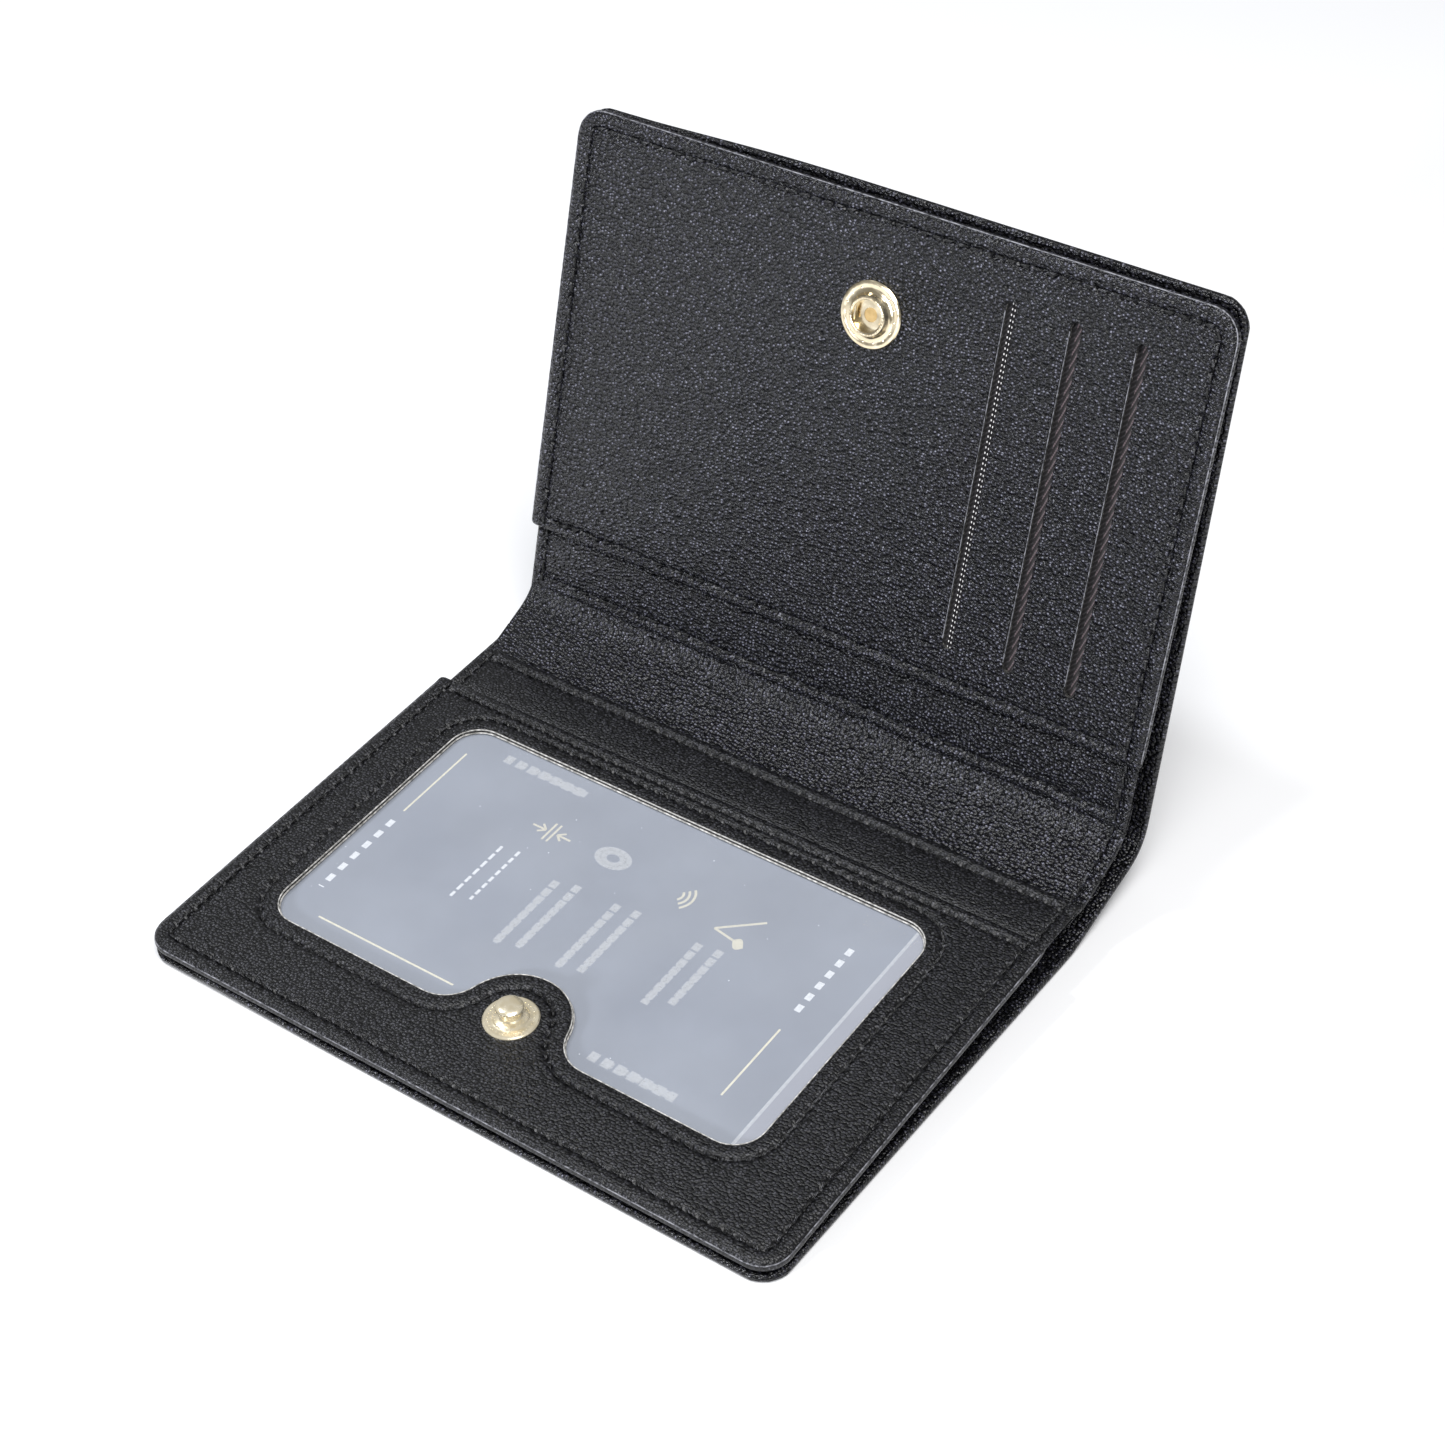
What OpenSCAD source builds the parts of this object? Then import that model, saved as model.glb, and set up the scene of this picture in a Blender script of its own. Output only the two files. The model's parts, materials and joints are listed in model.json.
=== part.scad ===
// Folding wallet with two leaves and a wide spine: a windowed leaf with a snap stud lies on the
// table, and a leaf with three card slits and the snap socket stands open at its rest angle.
// X runs along the folds, Y from the lying leaf's free edge towards the standing leaf, Z up.
// The origin is the centre of the base. Each leaf is drawn in its own frame: x along the fold,
// s from the lower pocket's mouth to the free edge, n out of the leaf's inner face.

/* [Overall] */
// Length along the folds
wallet_l = 114; // [108:0.5:120]
// Leaf width, from the lower pocket's mouth to the free edge
leaf_w = 81.3; // [79:0.1:84]
// Strip of the lower pocket that shows beside the front panel
pocket_step = 10.9; // [9:0.1:12]
// Corner radius at the free edges
corner_r = 4.5; // [4:0.5:9]

/* [Layers] */
// Leather thickness of the inner panels
leather_t = 0.7; // [0.6:0.05:0.75]
// Thickness of a fabric lining
lining_t = 0.2; // [0.15:0.01:0.22]
// Thickness of the clear window sheet
sheet_t = 0.15; // [0.1:0.01:0.18]
// Thickness of the insert card
card_t = 0.25; // [0.2:0.01:0.28]
// Leather thickness of the outer cover
cover_t = 0.85; // [0.7:0.05:0.9]
// Air between neighbouring plies
ply_gap = 0.05; // [0.03:0.01:0.06]

/* [Folds] */
// Fold line behind the pocket mouths
fold_setback = 2.8; // [2.7:0.1:3.2]
// Fold line below the leaves' inner faces
fold_depth = 4; // [3.9:0.1:4.2]
// Room between the two inner faces when the wallet is shut
closed_gap = 3.8; // [3.7:0.1:4]
// Rise of the lying leaf towards the spine, in degrees
leaf_tilt = 4; // [3.8:0.1:4.2]
// Rest angle between the lying leaf and the spine, in degrees
spine_rise = 19.4; // [18:0.2:21]
// Rest angle between the spine and the standing leaf, in degrees
snap_rise = 51.5; // [48:0.5:53]

/* [Window] */
// Margin from the left end to the window
window_left = 11.6; // [11:0.1:14]
// Margin from the right end to the window
window_right = 14.6; // [13:0.1:16]
// Margin from the free edge to the window
window_free = 14.6; // [14:0.1:15]
// Margin from the front panel's mouth to the window
window_mouth = 6.5; // [6:0.1:8]
// Corner radius of the window
window_r = 5; // [4:0.5:6]
// Radius of the leather tab round the stud
tab_r = 8.8; // [8.5:0.1:9.5]
// Radius of the hollow curves beside the tab
tab_fillet_r = 6; // [5:0.5:7]

/* [Card slits] */
// Length of a slit
slit_l = 55; // [54.5:0.1:56]
// Width of a slit
slit_w = 1.8; // [1.4:0.1:2]
// Distance between neighbouring slits
slit_pitch = 10.6; // [9:0.1:11]
// Distance from the right end to the nearest slit
slit_right = 13.5; // [12:0.1:15]
// Distance from the free edge to the slits
slit_free = 8.4; // [8:0.1:9]
// Depth of a card pocket behind its slit
slit_pocket_l = 74; // [70:1:76]

/* [Insert card] */
// Card length
card_l = 90.5; // [88:0.5:92]
// Card height
card_h = 56; // [54:0.5:57]

/* [Snap] */
// Distance from the free edge to the snap's centre
snap_free = 17; // [16.5:0.1:17.5]
// Diameter of the stud's flange
stud_d = 8.4; // [8:0.1:9]
// Diameter of the stud's head
stud_head_d = 4.2; // [4:0.1:4.3]
// Diameter of the socket
socket_d = 10.4; // [10:0.1:11]
// Diameter of the socket's mouth
socket_mouth_d = 4.8; // [4.7:0.1:5]
// Diameter of a spring wire
wire_d = 0.5; // [0.4:0.05:0.55]

/* [Thread] */
// Thickness of a row of thread
thread_w = 0.6; // [0.5:0.05:0.7]
// Distance from a leaf's edge to its row of stitches
edge_seam = 2.7; // [2.5:0.1:3]
// Distance from a pocket's mouth to its row of stitches
mouth_seam = 2; // [1.8:0.1:2.2]
// Distance from the window to its row of stitches
window_seam = 2.7; // [2.5:0.1:3]

/* [Hidden] */
$fn = 48;
eps = 0.01;
arc_steps = 8;
tab_steps = 16;
charcoal = [0.13, 0.13, 0.15];
slate = [0.16, 0.16, 0.19];
ink = [0.07, 0.07, 0.08];
gold = [0.83, 0.75, 0.58];
twill = [0.25, 0.2, 0.21];
clear = [0.7, 0.75, 0.8, 0.5];
paper = [0.6, 0.64, 0.7];

// Margins of the hidden plies inside a leaf's outline.
backing_inset = 0.6;
pocket_inset = 0.3;
pocket_end_margin = 7;
sheet_side = 4;
sheet_lap = 1;
card_lap = 1.5;
card_end_gap = 3.5;
slit_lap = 1.5;
hem = 6;

// The stack of plies below a leaf's inner face. Both leaves are the same depth.
panel_bottom = -leather_t;
sheet_top = panel_bottom - ply_gap;
card_top = sheet_top - sheet_t - ply_gap;
pocket_top = card_top - card_t - ply_gap;
pocket_bottom = pocket_top - leather_t;
backing_top = pocket_bottom - ply_gap;
backing_bottom = backing_top - lining_t;
card_pocket_t = (panel_bottom - pocket_top - 4 * ply_gap) / 3;
inner_pocket_end = leaf_w - pocket_end_margin;

// The fold lines, in Y and Z before the whole is centred.
spine_chord = 2 * fold_depth + closed_gap;
heel_to_fold = 5.6;
heel_rise = 16;
heel_l = 21.7;
cover_lean = 78.65;
edge_height = 3.53;
fold_a_z = leaf_w * sin(leaf_tilt) - fold_depth * cos(leaf_tilt)
    + fold_setback * sin(leaf_tilt) + edge_height;
y_free = -(leaf_w + fold_setback) * cos(leaf_tilt) - fold_depth * sin(leaf_tilt);
heel_y = -heel_to_fold;
toe_y = heel_y + heel_l * cos(heel_rise);
toe_z = heel_l * sin(heel_rise);
id_cover_l = heel_y - y_free;
fold_b_y = spine_chord * cos(leaf_tilt + spine_rise);
fold_b_z = fold_a_z + spine_chord * sin(leaf_tilt + spine_rise);
snap_lean = leaf_tilt + spine_rise + snap_rise;
top_z = fold_b_z + (leaf_w + fold_setback) * sin(snap_lean) + fold_depth * cos(snap_lean);
snap_cover_l = (top_z - toe_z) / sin(cover_lean);
y_back = toe_y + snap_cover_l * cos(cover_lean);
y_shift = -(y_free + y_back) / 2;

// Room left at the folds, so that the plates on both sides of one never meet.
heel_gap = 0.5;
heel_spine_gap = 3;
toe_gap = 3.5;
liner_gap = 2.6;
liner_top = 2.4;
spine_backing_top = liner_top - leather_t - ply_gap;
ramp_w = 14;
ramp_lap = 0.5;
foot_inset = 0.1;
seam_drop = backing_bottom - ply_gap;
spine_seam_top = spine_backing_top - lining_t - ply_gap;

groove_w = thread_w + 0.1;
thread_t = 0.3;
groove_depth = 0.25;
thread_end_gap = 0.1;
strip_end_gap = 0.5;
end_gap = 1.2;
row_end = wallet_l / 2 - edge_seam - end_gap;

snap_gap = 0.05;
stud_flange_t = 0.6;
stud_neck_r = 1.5;
stud_head_z = 2.65;
stud_top = 3.2;
stud_crown_r = 0.3;
rivet_t = 0.33;
rivet_r = 3.6;
rivet_post_r = 1.1;
rivet_fit = 0.02;
rivet_post_top = 0.3;
socket_h = 2.3;
socket_rim = 0.7;
socket_floor = 0.35;
socket_well_r = 3.4;
socket_dome_r = 3.9;
wire_z = 1.5;
wire_reach = 0.15;
wire_gap = 0.03;
wire_x = stud_neck_r + wire_reach + wire_d / 2;

// The turned profiles of the snap, as radius and height.
stud_profile = concat([
    [0, 0],
    [stud_d / 2 - 0.2, 0],
    [stud_d / 2, 0.15],
    [stud_d / 2 - 0.3, 0.45],
    [stud_neck_r + 0.6, stud_flange_t],
    [stud_neck_r, stud_flange_t + 0.4],
    [stud_neck_r, stud_head_z - 0.2],
    [stud_head_d / 2 - 0.1, stud_head_z]
], arc([stud_head_d / 2 - stud_crown_r, stud_top - stud_crown_r], stud_crown_r, 0, 90, 4), [
    [0, stud_top]
]);
socket_profile = [
    [rivet_post_r + rivet_fit, 0],
    [socket_d / 2 - 0.2, 0],
    [socket_d / 2, 0.2],
    [socket_d / 2, socket_rim - 0.2],
    [socket_d / 2 - 0.3, socket_rim],
    [socket_dome_r, socket_rim],
    [socket_dome_r - 0.3, socket_h - 0.2],
    [socket_dome_r - 0.6, socket_h],
    [socket_mouth_d / 2 + 0.2, socket_h],
    [socket_mouth_d / 2, socket_h - 0.2],
    [socket_mouth_d / 2, socket_floor],
    [rivet_post_r + rivet_fit, socket_floor]
];

// ---- frames ----

module in_row() {
    translate([0, y_shift, 0]) children();
}
module on_id_leaf() {
    in_row() translate([0, 0, fold_a_z]) rotate([leaf_tilt, 0, 0]) mirror([0, 1, 0])
        translate([0, fold_setback, fold_depth]) children();
}
module on_spine() {
    in_row() translate([0, 0, fold_a_z]) rotate([leaf_tilt + spine_rise, 0, 0]) children();
}
module on_snap_leaf() {
    in_row() translate([0, fold_b_y, fold_b_z]) rotate([snap_lean, 0, 0])
        translate([0, fold_setback, fold_depth]) children();
}
module on_id_cover() {
    in_row() translate([0, heel_y, 0]) mirror([0, 1, 0]) children();
}
module on_spine_cover() {
    in_row() translate([0, heel_y, 0]) rotate([heel_rise, 0, 0]) children();
}
module on_snap_cover() {
    in_row() translate([0, toe_y, toe_z]) rotate([cover_lean, 0, 0]) children();
}

// ---- outlines, in x and s ----

function arc(c, r, a0, a1, steps) =
    [for (i = [0:steps]) let (a = a0 + (a1 - a0) * i / steps) c + r * [cos(a), sin(a)]];

// A leaf's outline from s0 to s1, with round corners at the free edge only.
function leaf_outline(s0, s1, inset) =
    let (h = wallet_l / 2 - inset, e = s1 - inset, r = max(corner_r - inset, 0.5))
    concat([[-h, s0], [h, s0]],
        arc([h - r, e - r], r, 0, 90, arc_steps),
        arc([r - h, e - r], r, 90, 180, arc_steps));

// The window, with the tab round the stud, grown by g. d is the distance from the free edge.
function window_outline(g) =
    let (x0 = -wallet_l / 2 + window_left, x1 = wallet_l / 2 - window_right,
        d0 = window_free, d1 = leaf_w - pocket_step - window_mouth, r = window_r,
        drop = tab_fillet_r + d0 - snap_free,
        reach = sqrt(pow(tab_r + tab_fillet_r, 2) - drop * drop),
        lean = asin(drop / (tab_r + tab_fillet_r)),
        f = tab_fillet_r + g, c = [0, snap_free])
    concat(arc([x0 + r, d0 + r], r + g, 180, 270, arc_steps),
        arc([-reach, d0 + tab_fillet_r], f, -90, -lean, arc_steps),
        arc(c, tab_r - g, 180 - lean, lean, tab_steps),
        arc([reach, d0 + tab_fillet_r], f, 180 + lean, 270, arc_steps),
        arc([x1 - r, d0 + r], r + g, 270, 360, arc_steps),
        arc([x1 - r, d1 - r], r + g, 0, 90, arc_steps),
        arc([x0 + r, d1 - r], r + g, 90, 180, arc_steps));

module window(g) {
    translate([0, leaf_w]) mirror([0, 1]) polygon(window_outline(g));
}
module window_row(w) {
    difference() {
        window(window_seam + w / 2);
        window(window_seam - w / 2);
    }
}
// The row of stitches round a leaf's left end, free edge and right end.
module edge_row(s0, w) {
    difference() {
        polygon(leaf_outline(s0, leaf_w, edge_seam - w / 2));
        translate([0, -eps]) polygon(leaf_outline(s0 - eps, leaf_w + eps, edge_seam + w / 2));
    }
}
// The row of stitches along a pocket's mouth, which stops short of the end rows.
module mouth_row(s, w) {
    translate([-row_end, s + mouth_seam - w / 2]) square([2 * row_end, w]);
}
// A short row across a strip from s0 to s1, at the left end or the right end.
module end_row(side, s0, s1, w) {
    translate([side * (wallet_l / 2 - edge_seam) - w / 2, s0]) square([w, s1 - s0]);
}
module end_rows(s0, s1, w) {
    for (side = [-1, 1]) end_row(side, s0, s1, w);
}
// A ply of thickness t whose top is at n = top.
module ply(top, t) {
    translate([0, 0, top - t]) linear_extrude(t) children();
}
module groove(top) {
    translate([0, 0, top - groove_depth]) linear_extrude(leather_t) children();
}
module thread(top) {
    color(ink) translate([0, 0, top - groove_depth]) linear_extrude(thread_t) children();
}

// ---- snap ----

module at_snap() {
    translate([0, leaf_w - snap_free, 0]) children();
}
// The bore and the recess for the rivet that clamps a snap part through a panel.
module rivet_room() {
    at_snap() {
        translate([0, 0, panel_bottom - eps])
            cylinder(r = rivet_post_r + rivet_fit, h = leather_t + 2 * eps);
        translate([0, 0, panel_bottom - eps]) cylinder(r = rivet_r + ply_gap, h = rivet_t + eps);
    }
}
// A rivet whose post ends at n = top.
module rivet(top) {
    color(gold) at_snap() translate([0, 0, panel_bottom]) {
        cylinder(r = rivet_r, h = rivet_t);
        cylinder(r = rivet_post_r, h = leather_t + top);
    }
}

// ---- outer cover ----

// A flat ply from t0 to t1, whose outer face is m above the cover's, with one round corner.
module flat_ply(t0, t1, m, t, edge) {
    left = ramp_w - wallet_l / 2 + (m > 0 ? 2 * ramp_lap : 0);
    right = wallet_l / 2 - edge;
    r = corner_r;
    translate([0, 0, m]) linear_extrude(t)
        polygon(concat([[left, t0], [right, t0]],
            arc([right - r, t1 - edge - r], r, 0, 90, arc_steps), [[left, t1 - edge]]));
}
module flat_strip(t0, t1, m, t, edge) {
    left = ramp_w - wallet_l / 2 + (m > 0 ? 2 * ramp_lap : 0);
    translate([left, t0, m]) cube([wallet_l / 2 - edge - left, t1 - t0, t]);
}
// The cover is sewn to the inner leaves along its left end, so it ramps up to them there. The
// ramp's foot is let into the flat ply on every side.
module ramp_foot(t0, t1) {
    translate([ramp_w - wallet_l / 2, t0 + ramp_lap, foot_inset])
        cube([ramp_lap, t1 - t0 - 2 * ramp_lap, cover_t - 2 * foot_inset]);
}
module seam_strip(s0, s1, top) {
    translate([-wallet_l / 2, s0, top - cover_t]) cube([ramp_lap, s1 - s0, cover_t]);
}
// The row of stitches along the cover's open right end, from t0 to t1.
module cover_row(t0, t1, w, depth) {
    translate([wallet_l / 2 - edge_seam - w / 2, t0, -eps]) cube([w, t1 - t0, depth + eps]);
}

module cover_thread(t0, t1) {
    translate([0, 0, groove_depth / 2])
        cover_row(t0 + thread_end_gap, t1 - thread_end_gap, thread_w, groove_depth / 2);
}

// ---- the lying leaf ----

module cover_id_panel() {
    color(charcoal) difference() {
        union() {
            on_id_cover() flat_ply(heel_gap, id_cover_l, 0, cover_t, 0);
            hull() {
                on_id_cover() ramp_foot(heel_gap, id_cover_l);
                on_id_leaf() seam_strip(0, leaf_w - corner_r, seam_drop);
            }
        }
        on_id_cover() cover_row(heel_gap + end_gap, id_cover_l - corner_r, groove_w, groove_depth);
    }
}
module cover_id_lining() {
    color(twill) on_id_cover() flat_ply(heel_gap, id_cover_l, cover_t + ply_gap, lining_t, hem);
}
module id_backing() {
    color(twill) on_id_leaf() ply(backing_top, lining_t)
        polygon(leaf_outline(0, leaf_w, backing_inset));
}
module id_lower_pocket() {
    color(slate) on_id_leaf() difference() {
        ply(pocket_top, leather_t) polygon(leaf_outline(0, inner_pocket_end, pocket_inset));
        groove(pocket_top) mouth_row(0, groove_w);
        groove(pocket_top) end_rows(-eps, pocket_step - strip_end_gap, groove_w);
    }
}
module id_window_panel() {
    color(charcoal) on_id_leaf() difference() {
        ply(0, leather_t) difference() {
            polygon(leaf_outline(pocket_step, leaf_w, 0));
            window(0);
        }
        groove(0) window_row(groove_w);
        groove(0) edge_row(pocket_step - 2 * eps, groove_w);
        groove(0) mouth_row(pocket_step, groove_w);
        rivet_room();
    }
}
module id_window_sheet() {
    s0 = pocket_step + sheet_lap;
    color(clear) on_id_leaf() ply(sheet_top, sheet_t)
        translate([sheet_side - wallet_l / 2, s0])
            square([wallet_l - 2 * sheet_side, inner_pocket_end - s0]);
}
module insert_card() {
    right = wallet_l / 2 - window_right + card_lap;
    color(paper) on_id_leaf() ply(card_top, card_t)
        translate([right - card_l, inner_pocket_end - card_end_gap - card_h]) square([card_l, card_h]);
}
module snap_stud() {
    color(gold) on_id_leaf() at_snap() difference() {
        rotate_extrude() polygon(stud_profile);
        translate([0, 0, -eps])
            cylinder(r = rivet_post_r + rivet_fit, h = rivet_post_top + snap_gap + eps);
    }
}
module stud_rivet() {
    on_id_leaf() rivet(rivet_post_top);
}
module id_edge_stitching() {
    on_id_leaf() thread(0) edge_row(pocket_step, thread_w);
    on_id_leaf() thread(pocket_top) end_rows(0, pocket_step - strip_end_gap - thread_end_gap, thread_w);
}
module id_mouth_stitching() {
    on_id_leaf() thread(0) mouth_row(pocket_step, thread_w);
}
module window_stitching() {
    on_id_leaf() thread(0) window_row(thread_w);
}
module id_pocket_stitching() {
    on_id_leaf() thread(pocket_top) mouth_row(0, thread_w);
}
module cover_id_stitching() {
    color(ink) on_id_cover() cover_thread(heel_gap + end_gap, id_cover_l - corner_r);
}

// ---- the spine ----

module spine_strip(top, t) {
    translate([backing_inset - wallet_l / 2, liner_gap, top - t])
        cube([wallet_l - 2 * backing_inset, spine_chord - 2 * liner_gap, t]);
}
module spine_liner() {
    color(slate) on_spine() difference() {
        spine_strip(liner_top, leather_t);
        groove(liner_top) end_row(1, liner_gap - eps, spine_chord - liner_gap + eps, groove_w);
    }
}
module spine_backing() {
    color(twill) on_spine() spine_strip(spine_backing_top, lining_t);
}
module spine_cover() {
    color(charcoal) union() {
        on_spine_cover() flat_strip(heel_spine_gap, heel_l - toe_gap, 0, cover_t, 0);
        hull() {
            on_spine_cover() ramp_foot(heel_spine_gap, heel_l - toe_gap);
            on_spine() seam_strip(liner_gap, spine_chord - liner_gap, spine_seam_top);
        }
    }
}
module spine_cover_lining() {
    color(twill) on_spine_cover()
        flat_strip(heel_spine_gap, heel_l - toe_gap, cover_t + ply_gap, lining_t, hem);
}
module spine_stitching() {
    on_spine() thread(liner_top) end_row(1, liner_gap, spine_chord - liner_gap, thread_w);
}

// ---- the standing leaf ----

module cover_snap_panel() {
    color(charcoal) difference() {
        union() {
            on_snap_cover() flat_ply(toe_gap, snap_cover_l, 0, cover_t, 0);
            hull() {
                on_snap_cover() ramp_foot(toe_gap, snap_cover_l);
                on_snap_leaf() seam_strip(0, leaf_w - corner_r, seam_drop);
            }
        }
        on_snap_cover() cover_row(toe_gap + end_gap, snap_cover_l - corner_r, groove_w, groove_depth);
    }
}
module cover_snap_lining() {
    color(twill) on_snap_cover() flat_ply(toe_gap, snap_cover_l, cover_t + ply_gap, lining_t, hem);
}
module snap_backing() {
    color(twill) on_snap_leaf() ply(backing_top, lining_t)
        polygon(leaf_outline(0, leaf_w, backing_inset));
}
module snap_lower_pocket() {
    color(slate) on_snap_leaf() difference() {
        ply(pocket_top, leather_t) polygon(leaf_outline(0, inner_pocket_end, pocket_inset));
        groove(pocket_top) mouth_row(0, groove_w);
        groove(pocket_top) end_rows(-eps, pocket_step - strip_end_gap, groove_w);
    }
}
function slit_x(i) = wallet_l / 2 - slit_right - (2 - i) * slit_pitch;
module slits() {
    for (i = [0:2])
        translate([slit_x(i) - slit_w / 2, leaf_w - slit_free - slit_l]) square([slit_w, slit_l]);
}
module slot_panel() {
    color(slate) on_snap_leaf() difference() {
        ply(0, leather_t) difference() {
            polygon(leaf_outline(pocket_step, leaf_w, 0));
            slits();
        }
        groove(0) edge_row(pocket_step - 2 * eps, groove_w);
        groove(0) mouth_row(pocket_step, groove_w);
        rivet_room();
    }
}
// The lining pocket behind slit i. Its closed end is towards the left.
module card_pocket(i) {
    top = panel_bottom - ply_gap - i * (card_pocket_t + ply_gap);
    color(twill) on_snap_leaf() ply(top, card_pocket_t)
        translate([slit_x(i) + slit_w - slit_pocket_l, leaf_w - slit_free - slit_l - slit_lap])
            square([slit_pocket_l, slit_l + 2 * slit_lap]);
}
module card_pocket_1() {
    card_pocket(0);
}
module card_pocket_2() {
    card_pocket(1);
}
module card_pocket_3() {
    card_pocket(2);
}
// The two wires of the spring, either side of the stud's neck.
module spring_wires(d, h) {
    for (side = [-1, 1])
        translate([side * wire_x, 0, wire_z]) rotate([90, 0, 0])
            cylinder(d = d, h = h, center = true);
}
module snap_socket() {
    color(gold) on_snap_leaf() at_snap() difference() {
        rotate_extrude() polygon(socket_profile);
        spring_wires(wire_d + 2 * wire_gap, 2 * socket_well_r);
    }
}
module socket_spring() {
    color(gold) on_snap_leaf() at_snap() spring_wires(wire_d, 2 * (socket_well_r - snap_gap));
}
module socket_rivet() {
    on_snap_leaf() rivet(socket_floor - snap_gap);
}
module snap_edge_stitching() {
    on_snap_leaf() thread(0) edge_row(pocket_step, thread_w);
    on_snap_leaf() thread(pocket_top) end_rows(0, pocket_step - strip_end_gap - thread_end_gap, thread_w);
}
module snap_mouth_stitching() {
    on_snap_leaf() thread(0) mouth_row(pocket_step, thread_w);
}
module snap_pocket_stitching() {
    on_snap_leaf() thread(pocket_top) mouth_row(0, thread_w);
}
module cover_snap_stitching() {
    color(ink) on_snap_cover() cover_thread(toe_gap + end_gap, snap_cover_l - corner_r);
}

cover_id_panel();
cover_id_lining();
id_backing();
id_lower_pocket();
id_window_panel();
id_window_sheet();
insert_card();
snap_stud();
stud_rivet();
id_edge_stitching();
id_mouth_stitching();
window_stitching();
id_pocket_stitching();
cover_id_stitching();
spine_liner();
spine_backing();
spine_cover();
spine_cover_lining();
spine_stitching();
cover_snap_panel();
cover_snap_lining();
snap_backing();
snap_lower_pocket();
slot_panel();
card_pocket_1();
card_pocket_2();
card_pocket_3();
snap_socket();
socket_spring();
socket_rivet();
snap_edge_stitching();
snap_mouth_stitching();
snap_pocket_stitching();
cover_snap_stitching();
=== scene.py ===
"""The looks of a folding leather wallet: rolled leather panels, stitching, linings, a windowed
card and a snap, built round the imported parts. Local sizes are in millimetres and turn into
metres where a piece is placed. A leaf's own frame is x along the folds, s across the leaf from
the lower pocket's mouth to the free edge, and n out of the inner face."""
import json
import math
import random

import bmesh
import bpy
import numpy as np
from mathutils import Matrix, Vector, noise
from mathutils.geometry import delaunay_2d_cdt


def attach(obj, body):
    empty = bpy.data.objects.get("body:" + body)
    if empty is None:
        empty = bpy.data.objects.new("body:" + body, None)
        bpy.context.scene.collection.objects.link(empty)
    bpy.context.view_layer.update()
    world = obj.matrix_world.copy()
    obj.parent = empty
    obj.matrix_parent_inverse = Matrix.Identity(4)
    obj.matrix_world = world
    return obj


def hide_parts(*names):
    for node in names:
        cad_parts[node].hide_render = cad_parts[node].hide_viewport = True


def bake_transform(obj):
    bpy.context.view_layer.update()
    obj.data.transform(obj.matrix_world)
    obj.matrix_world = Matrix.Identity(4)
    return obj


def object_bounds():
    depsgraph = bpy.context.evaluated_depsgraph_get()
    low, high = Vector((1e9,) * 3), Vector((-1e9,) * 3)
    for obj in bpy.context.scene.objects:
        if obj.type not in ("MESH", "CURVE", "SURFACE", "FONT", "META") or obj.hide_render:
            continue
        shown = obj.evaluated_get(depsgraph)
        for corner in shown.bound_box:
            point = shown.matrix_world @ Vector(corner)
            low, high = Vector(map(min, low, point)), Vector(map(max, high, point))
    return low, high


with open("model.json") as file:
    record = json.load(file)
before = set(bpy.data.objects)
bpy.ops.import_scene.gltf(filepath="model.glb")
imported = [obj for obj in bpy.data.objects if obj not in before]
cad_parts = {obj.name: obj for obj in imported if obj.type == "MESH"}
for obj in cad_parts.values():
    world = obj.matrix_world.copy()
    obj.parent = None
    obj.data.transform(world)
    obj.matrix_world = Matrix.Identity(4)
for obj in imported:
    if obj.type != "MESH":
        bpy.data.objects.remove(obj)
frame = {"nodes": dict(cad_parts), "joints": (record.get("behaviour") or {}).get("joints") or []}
cad_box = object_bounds()
MM = 0.001

# ---- frames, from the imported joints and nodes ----

joints = {j["name"]: j for j in frame["joints"]}
slide = joints["insert_slide"]["axis"]
TILT = math.atan2(slide[2], slide[1])
SPINE_LEAN = TILT - math.radians(joints["id_fold"]["range_deg"][0])
SNAP_LEAN = SPINE_LEAN + math.radians(90 - joints["snap_fold"]["range_deg"][1])
FOLD_A = Vector(joints["id_fold"]["pos_m"]) / MM
FOLD_B = Vector(joints["snap_fold"]["pos_m"]) / MM


class Flat:
    """A flat frame whose s axis leans by an angle in the plane of Y and Z."""

    def __init__(self, origin, lean, side=1):
        self.origin = np.array(origin, float)
        self.s = np.array([0, math.cos(lean), math.sin(lean)])
        self.n = np.array([0, -math.sin(lean), math.cos(lean)]) * side

    def at(self, x, s, n):
        """World points in mm of local coordinates, which may be arrays."""
        x, s, n = np.broadcast_arrays(np.asarray(x, float), s, n)
        along = np.zeros(x.shape + (3,))
        along[..., 0] = x
        return self.origin + along + s[..., None] * self.s + n[..., None] * self.n

    def moved(self, s, n):
        copy = Flat(self.origin + self.s * s + self.n * n, 0)
        copy.s, copy.n = self.s, self.n
        return copy

    def span(self, node):
        """Lowest and highest x, s and n of a CAD node, in mm."""
        co = np.array([v.co for v in frame["nodes"][node].data.vertices]) / MM - self.origin
        local = np.stack([co[:, 0] + self.origin[0], co @ self.s, co @ self.n], 1)
        return local.min(0), local.max(0)


fold_leaf = Flat(FOLD_A, math.pi + TILT, -1)
SETBACK = fold_leaf.span("id_lower_pocket")[0][1]
DEPTH = fold_leaf.span("id_window_panel")[1][2]
ID = fold_leaf.moved(SETBACK, DEPTH)
SNAP = Flat(FOLD_B, SNAP_LEAN).moved(SETBACK, DEPTH)
SPINE = Flat(FOLD_A, SPINE_LEAN)

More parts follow.
